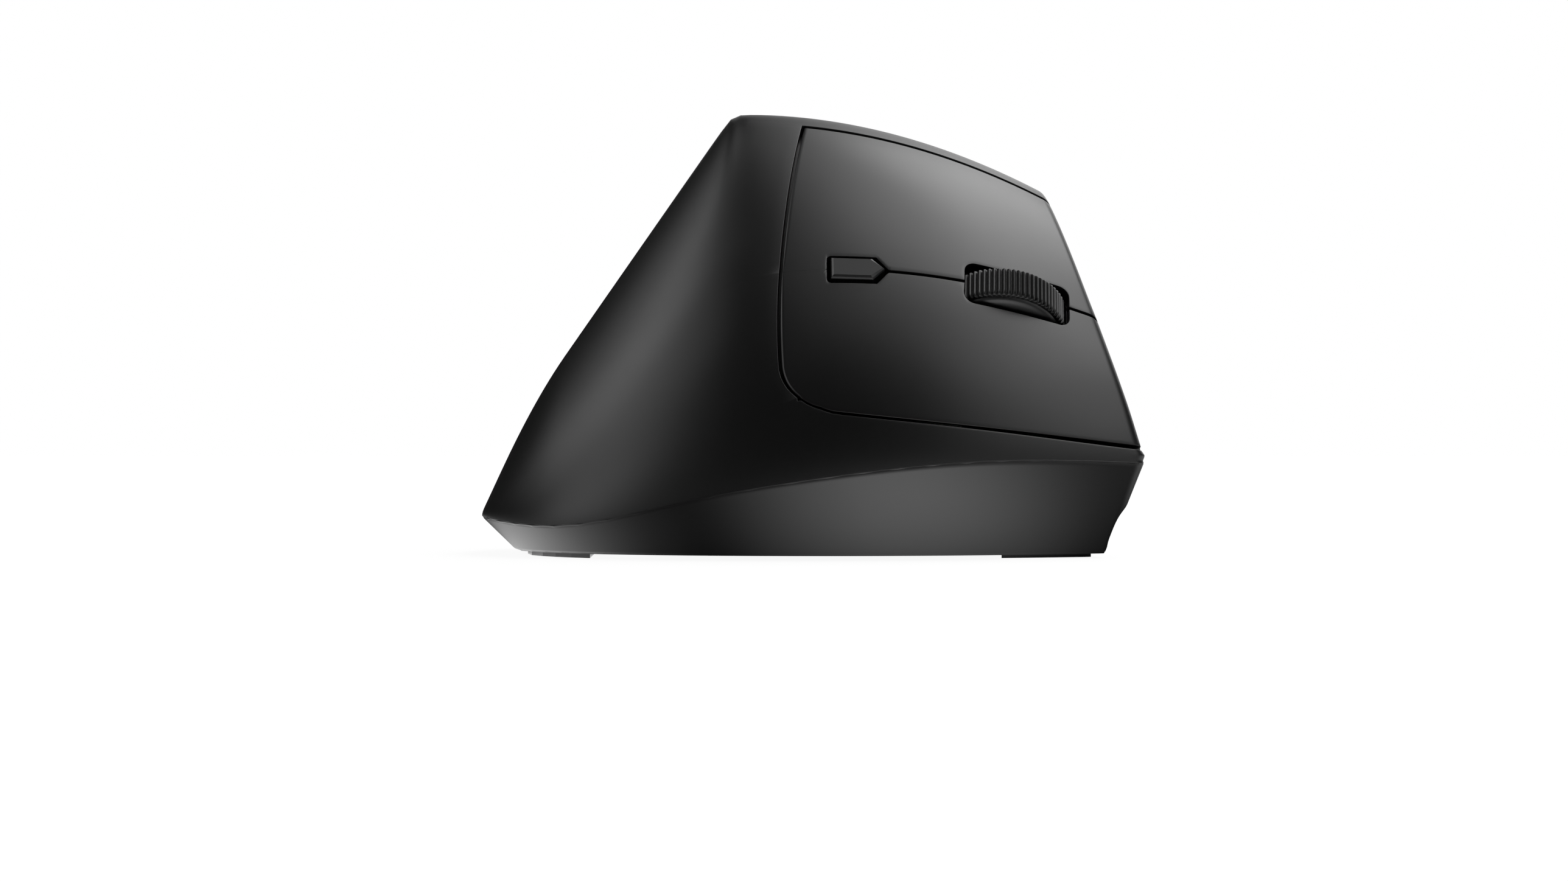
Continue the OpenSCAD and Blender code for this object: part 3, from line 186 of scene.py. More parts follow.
def skin_run(y, share):
    """The forward direction in the skin, from two near points."""
    return unit(skin(y + 0.1, share) - skin(y - 0.1, share))


def skin_out(y, share):
    """The outward direction: forward crossed with upward in the skin."""
    up = skin(y, share + 0.004) - skin(y, np.maximum(0, share - 0.004))
    return unit(np.cross(skin_run(y, share), up))


print("skin at the wheel", skin(np.float64(WHEEL_Y), np.float64(SPLIT)).round(2))

# %% [markdown]
# ## Seams as rows and columns
# The seams between the cover and the key plates are lines of the skin. Numbering them
# as rows and columns gives every piece a rectangle of its own: column 1 to 2 is the seam
# behind the plates, 3 to 4 the rolled front edge and 4 to 5 its lip, while the rows count
# the band, the lower plate, the upper plate, the strip under the ridge and the shoulder.
# Boolean cuts could make the seams too, but they leave ragged faces beside a smooth shape.

# %% Rows
SEAM, HAIRLINE, SEAM_LEAN, LEAST_HEIGHT = 0.6, 0.02, 0.85, 20
SPEED_Y, TOP_SEAM, LOW_SEAM, FRONT_ROOM = 7.4, 0.966, 0.175, 0.7


def half_seam(y):
    """Half a seam over the height, less what the skin's lean adds. The low tail counts as
    20 mm high."""
    return SEAM_LEAN * SEAM / 2 / np.maximum(LEAST_HEIGHT, ridge_z(y) - right_crease(y))


def low_line(y):
    """The lower seam's share: a parabola in front of the origin."""
    ahead = np.maximum(0, y)
    return LOW_SEAM - 0.0033 * ahead + 0.0000215 * ahead ** 2


def shoulder_dip(y):
    """How far the shoulder seam sinks towards the front: a smooth step."""
    return 0.05 * ease((y + 1) / 38)


def row_shares(y):
    """Shares of the nine row lines at places along the body. The lower seam widens towards
    the front, where the pressed plate needs the room."""
    y = np.asarray(y, float)
    seam = half_seam(y)
    split = np.where(y < SPEED_Y, HAIRLINE / SEAM, 1) * seam
    low = low_line(y)
    room = 1 + FRONT_ROOM * ease((y - 25) / 25)
    return np.stack(np.broadcast_arrays(
        0 * y, low - seam, low + seam * room, SPLIT - split, SPLIT + split,
        TOP_SEAM - seam, TOP_SEAM + seam, 1 + 0 * y, 1.1 + shoulder_dip(y)), -1)


NOMINAL = row_shares(20.0)


def between_rows(rows, v):
    """The share at row number v: straight between the two row lines beside it."""
    k = np.clip(np.floor(v), 0, 7).astype(int)
    low = np.take_along_axis(rows, k[..., None], -1)[..., 0]
    high = np.take_along_axis(rows, k[..., None] + 1, -1)[..., 0]
    return mix(low, high, v - k)


print("row shares", NOMINAL.round(3))

# %% Columns
PLATE_BACK, COLUMN_POWER, CORNER_RADIUS = 6.3, 1.7, 8.5


def plate_y(share):
    """The plates' rear edge leans forward towards the ridge as a parabola."""
    return 4.5 * ((np.minimum(1, share) - 0.4) / 0.57) ** 2 - PLATE_BACK


def roll_y(share):
    """Where the front edge starts to roll: it leans back towards the ridge and swells below."""
    swell = 1.2 * ease(share / 0.08) * (1 - 0.65 * ease((share - 0.22) / 0.45))
    return NOSE - 1.8 - 14 * share + swell


def along(u, share):
    """The place along the body of a column at a share of the height."""
    rear = mix(TAIL, plate_y(share) - SEAM / 2, np.clip(u, 0, 1) ** COLUMN_POWER)
    gap = plate_y(share) + SEAM * (u - 1.5)
    front = mix(plate_y(share) + SEAM / 2, roll_y(share), np.clip(u - 2, 0, 1))
    return np.where(u < 1, rear, np.where(u < 2, gap, front))


def round_corner(a, b):
    """Moves points near the plates' lower rear corner so that it gets a radius: squares
    round the corner become arcs, with a and b the distances from its two sides."""
    d = np.maximum(np.abs(a), np.abs(b))
    turn = np.radians(45 * (1 - d / CORNER_RADIUS))
    e = CORNER_RADIUS - CORNER_RADIUS * np.cos(turn)
    f = CORNER_RADIUS - CORNER_RADIUS * np.sin(turn) - d
    w = b * b / (a * a + b * b + 0.001)
    near = np.where(d > CORNER_RADIUS, 0, ease(1 + b / 6))
    return near * (w * e + (1 - w) * f), near * (w * f + (1 - w) * e)


print("front edge from", roll_y(0.0), "to", roll_y(1.0), "mm")

# %% Points of rows and columns
ROLL_RADIUS, ROLL_TURN, LIP = 3.2, 72.0, 1.2


def spot(u, v):
    """Point and outward direction on the skin at column u and row v. Past column 3 the
    point goes round an arc, and past column 4 straight on along the lip."""
    u, v = np.broadcast_arrays(np.asarray(u, float), np.asarray(v, float))
    nominal = between_rows(np.broadcast_to(NOMINAL, u.shape + (9,)), v)
    y0 = along(u, nominal)
    share0 = between_rows(row_shares(y0), v)
    rise = ridge_z(y0) - right_crease(y0)
    ahead, up = round_corner(y0 - plate_y(nominal), (share0 - low_line(y0)) * rise)
    y, share = y0 + ahead, share0 + up / rise
    base, out, run = skin(y, share), skin_out(y, share), skin_run(y, share)
    angle = np.radians(ROLL_TURN * np.clip(u - 3, 0, 1))[..., None]
    lip = LIP * np.maximum(0, u - 4)[..., None]
    rolled = base + ROLL_RADIUS * (np.sin(angle) * run - (1 - np.cos(angle)) * out)
    rolled = rolled + lip * (np.cos(angle) * run - np.sin(angle) * out)
    front = u[..., None] > 3
    return np.where(front, rolled, base), np.where(front, np.sin(angle) * run + np.cos(angle) * out, out)


print("nose tip", spot(4.0, 0.0)[0].round(2))

# %% [markdown]
# ## From a grid to a closed shell
# A moulded cover is a sheet about two millimetres thick with slightly rounded edges.
# A Bevel modifier could round them, but its width is held back by the shortest edge of the
# whole mesh. Here every point knows its distance to the border, and sinks along a quarter
# circle as it comes near. The sheet's inner side and its rims then close the mesh.

# %% Rounded edges
def steps(a, b, n):
    """Even steps from a to b, both counted."""
    return np.linspace(a, b, n + 1)


def border_distance(points, border):
    """Distance in millimetres from each point to the nearest piece of a border line."""
    start, step = border[:-1], np.diff(border, axis=0)
    length = np.maximum((step ** 2).sum(-1), 1e-12)
    flat = points.reshape(-1, 3)
    nearest = []
    for part in np.array_split(flat, max(1, len(flat) // 2000)):
        off = part[:, None] - start
        t = np.clip((off * step).sum(-1) / length, 0, 1)
        nearest.append(np.linalg.norm(off - t[..., None] * step, axis=-1).min(1))
    return join(nearest).reshape(points.shape[:2])


def edge_drop(distance, radius):
    """A quarter circle: the border is a radius deep and the drop ends a radius inside."""
    inside = np.clip(radius - distance, 0, radius)
    return radius - np.sqrt(radius ** 2 - inside ** 2)


EDGE = 0.07
NEAR_EDGE = EDGE * (1 - np.cos(np.radians([0, 25, 45, 62, 78, 90])))
print("edge points at", NEAR_EDGE.round(3), "mm")

# %% Faces of a grid
def grid_quads(n, m, wrap=False, close=False):
    """One quad for each cell of n columns and m rows. With wrap the last column joins the
    first, and with close the last row joins the first."""
    number = np.arange(n * m).reshape(n, m)
    if wrap:
        number = join([number, number[:1]])
    if close:
        number = join([number, number[:, :1]], 1)
    return np.stack([number[:-1, :-1], number[1:, :-1], number[1:, 1:], number[:-1, 1:]], -1)


def shell_faces(shape, keep=None, wrap=False):
    """Quads of both sides of a sheet of cells, with a rim wherever a kept cell has no
    neighbour."""
    n, m = shape
    cell = grid_quads(n, m, wrap)
    keep = np.ones(cell.shape[:2], bool) if keep is None else keep
    quads = [cell[keep], cell[keep][:, ::-1] + n * m]
    around = np.pad(keep, 1)
    if wrap:
        around[0], around[-1] = around[-2], around[1]
    rows, columns = keep.shape
    for side, (i, j) in enumerate([(0, -1), (1, 0), (0, 1), (-1, 0)]):
        alone = keep & ~around[1 + i:1 + i + rows, 1 + j:1 + j + columns]
        a, b = cell[..., side][alone], cell[..., (side + 1) % 4][alone]
        quads.append(np.stack([b, a, a + n * m, b + n * m], -1))
    return join(quads)


print("a sheet of 3 by 3 points has", len(shell_faces((3, 3))), "faces")

# %% Storing a mesh
def store(name, points, quads, body, replaced=(), sharp=None):
    """Puts points and quads into a mesh, less the points that no quad uses, and merges
    points that coincide."""
    used, numbers = np.unique(quads, return_inverse=True)
    mesh = bpy.data.meshes.new(name)
    place = (points.reshape(-1, 3)[used] + FORWARD) * MILLIMETRE
    mesh.from_pydata(place.tolist(), [], numbers.reshape(-1, 4).tolist())
    form = bmesh.new()
    form.from_mesh(mesh)
    bmesh.ops.remove_doubles(form, verts=form.verts, dist=2e-6)
    form.to_mesh(mesh)
    form.free()
    mesh.polygons.foreach_set("use_smooth", np.ones(len(mesh.polygons), bool))
    if sharp:
        mesh.set_sharp_from_angle(angle=np.radians(sharp))
    piece = bpy.data.objects.new(name, mesh)
    scene.collection.objects.link(piece)
    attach(piece, body)
    if replaced:
        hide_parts(*replaced)
    print(name, len(mesh.vertices), "points", len(mesh.polygons), "faces")
    return piece


# %% [markdown]
# ## The palm cover
# The cover carries the heel of the hand. It starts at the tail, sweeps up to the ridge and
# goes on in two tongues, one under the key plates and one above them, so its sheet is a grid
# with the plates' window left out. The columns are close together at the tail, where the
# plan turns round, and the rows at the seams, where the edges are rounded.

# %% Grid of the palm cover
REAR_LENGTH, PLATE_LENGTH = 90, 54
BAND_HEIGHT, PLATE_HEIGHT, STRIP_HEIGHT, SHOULDER_HEIGHT = 10, 25, 2.2, 8


def middles(line_numbers):
    """The middles of the cells between grid lines."""
    return (line_numbers[1:] + line_numbers[:-1]) / 2


window_rear = 1 - NEAR_EDGE[::-1] / REAR_LENGTH
cover_u = join([steps(0, 1, 60)[:-1] ** 1.25 * window_rear[0], window_rear,
                2 + NEAR_EDGE / PLATE_LENGTH, steps(2.03, 3, 40), 3 + steps(0, 1, 8)[1:],
                4 + steps(0, 1, 3)[1:]])
band_v = join([NEAR_EDGE / BAND_HEIGHT, steps(0.06, 0.94, 12), 1 - NEAR_EDGE[::-1] / BAND_HEIGHT])
low_v = join([2 + NEAR_EDGE / PLATE_HEIGHT, steps(2.03, 2.97, 24), [3.0]])
high_v = join([[4.0], steps(4.03, 4.97, 24), 5 - NEAR_EDGE[::-1] / PLATE_HEIGHT])
ridge_v = join([6 + NEAR_EDGE / STRIP_HEIGHT, 6 + np.sin(np.radians(steps(20, 90, 12)))])
shoulder_v = join([7 + steps(0, 0.95, 16)[1:] ** 2, 8 - NEAR_EDGE[::-1] / SHOULDER_HEIGHT])
cover_v = join([band_v, low_v, high_v, ridge_v, shoulder_v])
cover, cover_out = spot(cover_u[:, None], cover_v[None, :])
cell_u, cell_v = middles(cover_u), middles(cover_v)
cover_keep = ~((cell_u > 1)[:, None] & (cell_v > 1) & (cell_v < 6))
print("cover grid", cover.shape[:2], "of which", int(cover_keep.sum()), "cells are kept")

# %% Palm cover
COVER_WALL, NOSE_END = 2.0, 57.37


def tail_taper(u):
    """The wall's share of its thickness: thin at the tail, full from column 0.5 on."""
    return (0.06 + 0.94 * ease(u / 0.5))[:, None, None]


def cover_edge():
    """The window's line: down the strip, along the rear edge and out along the band. The
    outer border goes on over the shoulder and leaves out the crease, which closes tightly."""
    fine = join([steps(5, 2, 120), [1.0]])
    strip = spot(fine, 6.0)[0]
    rear = spot(1.0, steps(6, 1, 200))[0]
    band = spot(fine[::-1], 1.0)[0]
    tongue = spot(5.0, steps(1, 0, 12))[0]
    shoulder = spot(join([steps(0, 1, 120), steps(2, 5, 120)]), 8.0)[0]
    front = spot(5.0, steps(8, 6, 24))[0]
    return join([strip, rear, band, tongue]), join([shoulder, front])


cover_near = np.minimum(*(border_distance(cover, edge_line) for edge_line in cover_edge()))
cover_top = cover - edge_drop(cover_near, EDGE)[..., None] * cover_out
cover_top[..., 1] = np.minimum(cover_top[..., 1], NOSE_END)
cover_under = cover - COVER_WALL * tail_taper(cover_u) * cover_out
palm_cover = store("palm_cover_skin", np.stack([cover_top, cover_under]),
                   shell_faces(cover.shape[:2], cover_keep), "case", ["palm_cover"])

# %% [markdown]
# ## Laps under the seams
# Under the shoulder seam the real shells overlap, and under the plates' top and rear seams
# the cover has ledges, so that no light comes through. Narrow strips of the same skin, set
# two millimetres deep, stand for the lap and the ledges.

# %% Shoulder lap and ledges
LAP_TOP, LAP_BOTTOM = 2.1, 2.7


def deep_strip(name, u, v):
    """A patch of the skin between two depths."""
    strip, out = spot(u[:, None], v[None, :])
    sides = np.stack([strip - LAP_TOP * out, strip - LAP_BOTTOM * out])
    return store(name, sides, shell_faces(strip.shape[:2]), "case")


shoulder_lap = deep_strip("shoulder_lap", steps(0.45, 2.95, 90), steps(7.5, 8.4, 8))
key_ledge = deep_strip("key_ledge", steps(2.0, 3.2, 60), steps(4.92, 6.2, 8))
rear_ledge = deep_strip("rear_ledge", steps(0.97, 2.05, 12), steps(1.9, 6.2, 60))

# %% [markdown]
# ## The key plates
# Each plate is one finger of springy plastic. Its inner edge follows the split, then half of
# the speed button's recess, the split again and half of the wheel's slot. The outlines of
# recess and slot are drawn flat and dropped on the skin with Newton steps, and every edge
# point then sends one column of the grid straight to the far seam.

# %% Flat frames on the skin
def tangent_frame(y):
    """Origin, forward, upward and outward directions on the split at one place."""
    y = np.float64(y)
    out, run = skin_out(y, SPLIT), skin_run(y, SPLIT)
    return skin(y, np.float64(SPLIT)), run, np.cross(out, run), out


def on_skin(flat, place, start, inner, side):
    """Column and row of flat outline points: Newton steps on the two in-plane distances.
    Points that fall into the gap of the split are held at the plate's own edge."""
    origin, run, up, _ = place
    u, v = np.full(len(flat), start), np.full(len(flat), inner + 0.1 * side)

    def off(u, v):
        p = spot(u, v)[0] - origin
        return np.stack([p @ run, p @ up], -1) - flat
    for _ in range(12):
        miss = off(u, v)
        du = (off(u + 1e-4, v) - miss) / 1e-4
        dv = (off(u, v + 1e-4 * side) - miss) / (1e-4 * side)
        det = du[:, 0] * dv[:, 1] - du[:, 1] * dv[:, 0]
        u = u - (miss[:, 0] * dv[:, 1] - miss[:, 1] * dv[:, 0]) / det
        v = v - (du[:, 0] * miss[:, 1] - du[:, 1] * miss[:, 0]) / det
        v = inner + side * np.clip(side * (v - inner), 0, 0.9)
    return u, v, np.median(np.abs(off(u, v)))


wheel_place, speed_place = tangent_frame(WHEEL_Y), tangent_frame(SPEED_Y)
print("slot frame out", wheel_place[3].round(3), "recess frame out", speed_place[3].round(3))

# %% Outlines of the recess and the slot
SLOT_LENGTH, SLOT_WIDTH, SLOT_RADIUS = 19.7, 9.0, 2.0
SPEED_LENGTH, SPEED_WIDTH, SPEED_POINT, SPEED_GAP = 9.4, 4.3, 2.1, 0.7


def line(a, b, n):
    """Even points on a straight line."""
    return np.array(a) + (np.array(b) - np.array(a)) * steps(0, 1, n)[:, None]


def arc(centre, radius, start, end, n):
    """Even points on an arc between two angles in degrees."""
    turn = np.radians(steps(start, end, n))
    return np.array(centre) + radius * np.stack([np.cos(turn), np.sin(turn)], -1)


def slot_half(side):
    """Half a rounded rectangle from rear to front, above (1) or below (-1) the split."""
    x, y, r = SLOT_LENGTH / 2, SLOT_WIDTH / 2, SLOT_RADIUS
    rear = line((-x, 0.2), (-x, y - r), 5)
    path = join([rear[:-1], arc((r - x, y - r), r, 180, 90, 8),
                 line((r - x, y), (x - r, y), 16)[1:-1], arc((x - r, y - r), r, 90, 0, 8),
                 rear[-2::-1] * (-1, 1)])
    return path * (1, side)


def recess_half(side):
    """Half of the five-sided recess from its rear wall to its tip."""
    x, y, r = SPEED_LENGTH / 2 + SPEED_GAP, SPEED_WIDTH / 2 + SPEED_GAP, 0.75
    path = join([line((-x, 0.05), (-x, y - r), 5)[:-1], arc((r - x, y - r), r, 180, 90, 6),
                 line((r - x, y), (x - SPEED_POINT, y), 12)[1:-1],
                 line((x - SPEED_POINT, y), (x, 0.2), 6)])
    return path * (1, side)


print("outline points", len(slot_half(1)), len(recess_half(1)))

# %% Columns of a plate
def plate_columns(inner, side):
    """Columns from the split edge to the far seam. Each wall of a recess or slot keeps
    its own few columns, spread a little along the far seam."""
    ru, rv, miss1 = on_skin(recess_half(side), speed_place, 2.25, inner, side)
    su, sv, miss2 = on_skin(slot_half(side), wheel_place, 2.75, inner, side)
    print("outlines on the skin within", max(miss1, miss2), "mm")
    slot_rear, slot_front = su[:12].min(), su[-12:].max()
    hair = join([2 + NEAR_EDGE / PLATE_LENGTH, steps(2.02, ru[:8].min() - 0.006, 9)])
    middle = steps(ru[-1] + 0.008, slot_rear - 0.008, 14)
    last = steps(slot_front + 0.008, 3, 4)
    front = join([3 + steps(0, 1, 12)[1:], 4 + steps(0, 1, 4)[1:-1], 5 - NEAR_EDGE[::-1] / LIP])
    edge_u = join([hair, ru, middle, su, last, front])
    flat = [np.full(len(part), float(inner)) for part in (hair, middle, last, front)]
    edge_v = join([flat[0], rv, flat[1], sv, flat[2], flat[3]])
    count = np.cumsum([0, len(hair), len(ru), len(middle), len(su), len(last)])
    r0, s0, s1 = count[1], count[3], count[4] - 1
    marks = [0, r0, r0 + 5, r0 + 11, r0 + 23, count[2] - 1,
             s0, s0 + 5, s0 + 13, s1 - 13, s1 - 5, s1, count[5] - 1]
    reach = [2, ru[0] - 0.03, ru[5] - 0.004, ru[11], ru[23], ru[-1] + 0.004,
             slot_rear - 0.06, slot_rear - 0.022, su[13] - 0.01, su[-14] + 0.01,
             slot_front + 0.022, slot_front + 0.036, 3]
    far_u = join([np.interp(np.arange(count[5]), marks, reach), front])
    return edge_u, edge_v, far_u


print("columns of the upper plate:", len(plate_columns(4, 1)[0]))

# %% Key plates
PLATE_WALL, HAIR_COLUMNS = 1.2, 16


def plate_grid(inner, far, side):
    """Every column runs evenly over the rows, but reaches its far column number early, as
    1 - (1 - t)^8, so that it leaves a wall at once; near both ends its points sit at the
    rounding's own distances in millimetres."""
    edge_u, edge_v, far_u = plate_columns(inner, side)

    def fan(t):
        u = mix(edge_u[:, None], far_u[:, None], 1 - (1 - t) ** 8)
        return spot(u, mix(edge_v[:, None], float(far), t))
    probe = fan(steps(0, 1, 24)[None, :])[0]
    length = np.linalg.norm(np.diff(probe, axis=1), axis=-1).sum(1)[:, None]
    near = NEAR_EDGE[None, :] / length
    inside = mix(near[:, -1:], 1 - near[:, -1:], steps(0, 1, 34)[None, 1:-1])
    t = join([near, inside, 1 - near[:, ::-1]], 1)
    if side < 0:
        t = t[:, ::-1]
    return fan(t)


def plate(name, inner, far, side, body):
    """The sheet with rounded edges, except along the hairline behind the speed button."""
    grid, out = plate_grid(inner, far, side)
    turned = grid[:, ::side]
    border = join([turned[HAIR_COLUMNS:, 0], turned[-1, 1:], turned[::-1, -1], turned[0, ::-1]])
    top = grid - edge_drop(border_distance(grid, border), EDGE)[..., None] * out
    return store(name, np.stack([top, grid - PLATE_WALL * out]), shell_faces(grid.shape[:2]),
                 body, [body])


upper_plate = plate("upper_key_plate", 4, 5, 1, "left_key")
lower_plate = plate("lower_key_plate", 3, 2, -1, "right_key")

# %% [markdown]
# ## The thumb side
# The thumb panel is a separate moulding that closes the left side and wraps round the front.
# It follows the thumb skin to the corner, turns with a quadratic curve and ends behind the
# rolled edge of the plates. Two long buttons sit in its window. It isn't in the photo, so
# its hollow follows where a thumb rests.

# %% Thumb panel surface
KEY_ANGLE, WALL_TURN, BUTTON_MIDDLE = 0.8, 6, 0.66
FRONT_GAP = SEAM / 2 + (NOSE + PLATE_BACK) * np.tan(np.radians(KEY_ANGLE))


def lip_end(w):
    """Where the front wall ends: behind the lip, at a share of the height."""
    share = 0.95 * w
    y = roll_y(share)
    base, out, run = skin(y, share), skin_out(y, share), skin_run(y, share)
    a = np.radians(ROLL_TURN)
    lip = np.cos(a) * run - np.sin(a) * out
    return base + ROLL_RADIUS * (np.sin(a) * run - (1 - np.cos(a)) * out) + (LIP + FRONT_GAP) * lip


def wall_share(w, y):
    """The share below the ridge: w goes from 0 at the crease to 1 at the shoulder seam."""
    return mix(1.0, 0.112 + shoulder_dip(y), w)


def thumb_side(y, w):
    """The skin's thumb side at a place along the body."""
    return skin(y, 1 + wall_share(w, y))


def front_corner(w):
    """Place of the corner and radius of its turn, from the end of the lip."""
    end = lip_end(w)
    turn = np.tan(np.radians(WALL_TURN))
    y = end[..., 1] - turn * (end[..., 0] - thumb_side(end[..., 1], w)[..., 0])
    corner = thumb_side(y, w)
    length = np.linalg.norm(end - corner, axis=-1)
    return end, y, corner, np.minimum(10, 0.42 * length), length


print("front wall ends at", lip_end(np.float64(0.5)).round(2))

# %% Points of the thumb panel
def panel(u, w):
    """Thumb side up to u 1, the turned corner to u 2 and the front wall to u 3."""
    u, w = np.broadcast_arrays(np.asarray(u, float), np.asarray(w, float))
    end, y, corner, radius, length = front_corner(w)
    t = np.clip(u - 1, 0, 1)[..., None]
    first = thumb_side(y - radius, w)
    last = mix(corner, end, (radius / length)[..., None])
    turn = (1 - t) ** 2 * first + 2 * t * (1 - t) * corner + t * t * last
    front = mix(last, end, np.clip(u - 2, 0, 1)[..., None])
    lift = 3.5 * ease((u - 1.85) / 0.4) * np.minimum(1, (3 - u) / 0.9)
    lift = lift - 0.8 * ease((u - 1) / 0.5) * ease((2.2 - u) / 0.4)
    rise = np.where(u < 1, 0, lift * w ** 8)[..., None] * np.array([0.0, 0.0, 1.0])
    rear = thumb_side(mix(TAIL, y - radius, np.clip(u, 0, 1) ** COLUMN_POWER), w)
    return np.where(u[..., None] < 1, rear, np.where(u[..., None] < 2, turn, front) + rise)


def panel_out(u, w):
    """The outward direction: upward crossed with forward, from near points."""
    up = panel(u, np.minimum(1, w + 0.01)) - panel(u, np.maximum(0, w - 0.01))
    run = panel(np.minimum(3, u + 0.01), w) - panel(np.maximum(0.001, u - 0.01), w)
    return unit(np.cross(up, run))


def column_at(y, w=BUTTON_MIDDLE):
    """The column number of a place along the thumb side."""
    _, corner_y, _, radius, _ = front_corner(np.float64(w))
    return ((y - TAIL) / (corner_y - radius - TAIL)) ** (1 / COLUMN_POWER)


print("corner of the panel", panel(1.5, 0.5).round(2))

# %% Grid of the thumb panel
BUTTON_CUTS, BUTTON_LOW, BUTTON_HIGH = (-4.0, 15.0, 34.0), 0.6, 0.72
SIDE_LENGTH, SIDE_HEIGHT, FRONT_LENGTH = 115, 60, 30
EDGE_SHARE = SEAM / 2 / SIDE_HEIGHT
window_start, window_end = column_at(BUTTON_CUTS[0] - SEAM / 2), column_at(BUTTON_CUTS[2] + SEAM / 2)
window_low, window_high = BUTTON_LOW - EDGE_SHARE, BUTTON_HIGH + EDGE_SHARE
near_u, near_w = NEAR_EDGE / SIDE_LENGTH, NEAR_EDGE / SIDE_HEIGHT
panel_u = join([[0.001], steps(0.03, window_start - near_u[-1], 34)[:-1],
                window_start - near_u[::-1], steps(window_start, window_end, 30)[1:-1],
                window_end + near_u, steps(window_end, 1, 8)[1:], 1 + steps(0, 1, 16)[1:],
                2 + steps(0, 1, 14)[1:-1], 3 - NEAR_EDGE[::-1] / FRONT_LENGTH])
panel_w = join([1 - near_w, steps(0.985, window_high + 0.01, 16),
                window_high + near_w[::-1], steps(window_high, window_low, 10)[1:-1],
                window_low - near_w, steps(window_low - 0.01, 0.012, 24), near_w[::-1]])
side_grid = panel(panel_u[:, None], panel_w[None, :])
side_out = panel_out(panel_u[:, None], panel_w[None, :])
middle_u, middle_w = middles(panel_u), middles(panel_w)
panel_keep = ~(((middle_u > window_start) & (middle_u < window_end))[:, None]
               & (middle_w > window_low) & (middle_w < window_high))
print("panel grid", side_grid.shape[:2], "of which", int(panel_keep.sum()), "cells are kept")

# %% Thumb panel
window_line = join([
    panel(steps(window_start, window_end, 60), window_low),
    panel(window_end, steps(window_low, window_high, 12)),
    panel(steps(window_end, window_start, 60), window_high),
    panel(window_start, steps(window_high, window_low, 12))])
rim_line = join([panel(steps(0.001, 3, 240), 1.0), panel(3.0, steps(1, 0, 80))])
side_edge = np.minimum(border_distance(side_grid, window_line), border_distance(side_grid, rim_line))
side_top = side_grid - edge_drop(side_edge, EDGE)[..., None] * side_out
level = side_out * np.stack([np.ones_like(panel_w), np.ones_like(panel_w), ease(panel_w / 0.2)], -1)
side_under = side_grid - COVER_WALL * tail_taper(panel_u) * unit(level)
thumb_panel = store("thumb_panel_skin", np.stack([side_top, side_under]),
                    shell_faces(side_grid.shape[:2], panel_keep), "case", ["thumb_panel"])

# %% [markdown]
# ## The thumb buttons
# Both thumb buttons are pads that stand a little proud of the panel, so that the thumb
# finds them. Each is a patch of the panel's own surface, so it keeps the panel's curve, and
# its edges have a larger radius than the seams.

# %% Thumb buttons
PAD_EDGE, PAD_PROUD, PAD_DEEP = 0.9, 0.6, 1.6


def thumb_pad(name, start, end, body):
    """A patch of the panel between two cuts, lifted, with a quarter circle at its edge."""
    close = PAD_EDGE * (1 - np.cos(np.radians(steps(0, 90, 7))))
    first, last = column_at(start + SEAM / 2), column_at(end - SEAM / 2)
    high, low = BUTTON_HIGH - EDGE_SHARE, BUTTON_LOW + EDGE_SHARE
    close_u, close_w = close / SIDE_LENGTH, close / SIDE_HEIGHT
    u = join([first + close_u, steps(first, last, 24)[2:-2], last - close_u[::-1]])
    w = join([high - close_w, steps(high, low, 14)[3:-3], low + close_w[::-1]])
    grid, out = panel(u[:, None], w[None, :]), panel_out(u[:, None], w[None, :])
    border = join([grid[:, 0], grid[-1, 1:], grid[::-1, -1], grid[0, ::-1]])
    lift = PAD_PROUD - edge_drop(border_distance(grid, border), PAD_EDGE)
    return store(name, np.stack([grid + lift[..., None] * out, grid - PAD_DEEP * out]),
                 shell_faces(grid.shape[:2]), body, [body])


back_pad = thumb_pad("back_thumb_pad", BUTTON_CUTS[0], BUTTON_CUTS[1], "back_button")
forward_pad = thumb_pad("forward_thumb_pad", BUTTON_CUTS[1], BUTTON_CUTS[2], "forward_button")

# %% [markdown]
# ## The skirt
# Below the crease the lower case leans inwards to the feet, with a groove across its front.
# The solid keeps the underside with all its wells, and a thin smooth skin covers its side.
# It is lifted by a tenth of a millimetre, so that no facet of the solid shows through.

# %% Skirt surface
CREASE_GAP, FOOT, FOOT_EDGE = 0.02, 0.8, 0.3
BOTTOM_SHARE, INNER_SHARE, GROOVE, SKIN_LIFT = 0.895, 0.985, 1.8, 0.12
right_u = join([steps(0, 1, 70) ** 1.25, steps(2.02, 3, 50), 3 + steps(0, 1, 14)[1:]])
front_u = join([[2.98], steps(2.9, 2, 24), steps(1.95, 1, 19)])
left_u = join([steps(0.985, 0.06, 70), [0.03, 0.001]])
crease_loop = join([spot(right_u, 0.0)[0], panel(front_u, 0.0), panel(left_u, 0.0)])
front_share = join([ease((right_u - 3.1) / 0.8), ease((front_u - 1.2) / 0.7), 0 * left_u])


def skirt(t, share):
    """The crease loop shrinks in plan towards the bottom while its height runs down to the
    feet; the front is pushed in by the groove."""
    s = share * mix(1, BOTTOM_SHARE, t)
    dent = GROOVE * (ease((t - 0.45) / 0.3) - 0.55 * ease((t - 0.82) / 0.12))
    x = crease_loop[:, None, 0] * s
    y = crease_loop[:, None, 1] * s - front_share[:, None] * dent
    z = mix(crease_loop[:, None, 2] - CREASE_GAP, FOOT, t) + 0 * x
    return np.stack([x, y, z], -1)


print("crease loop of", len(crease_loop), "points")

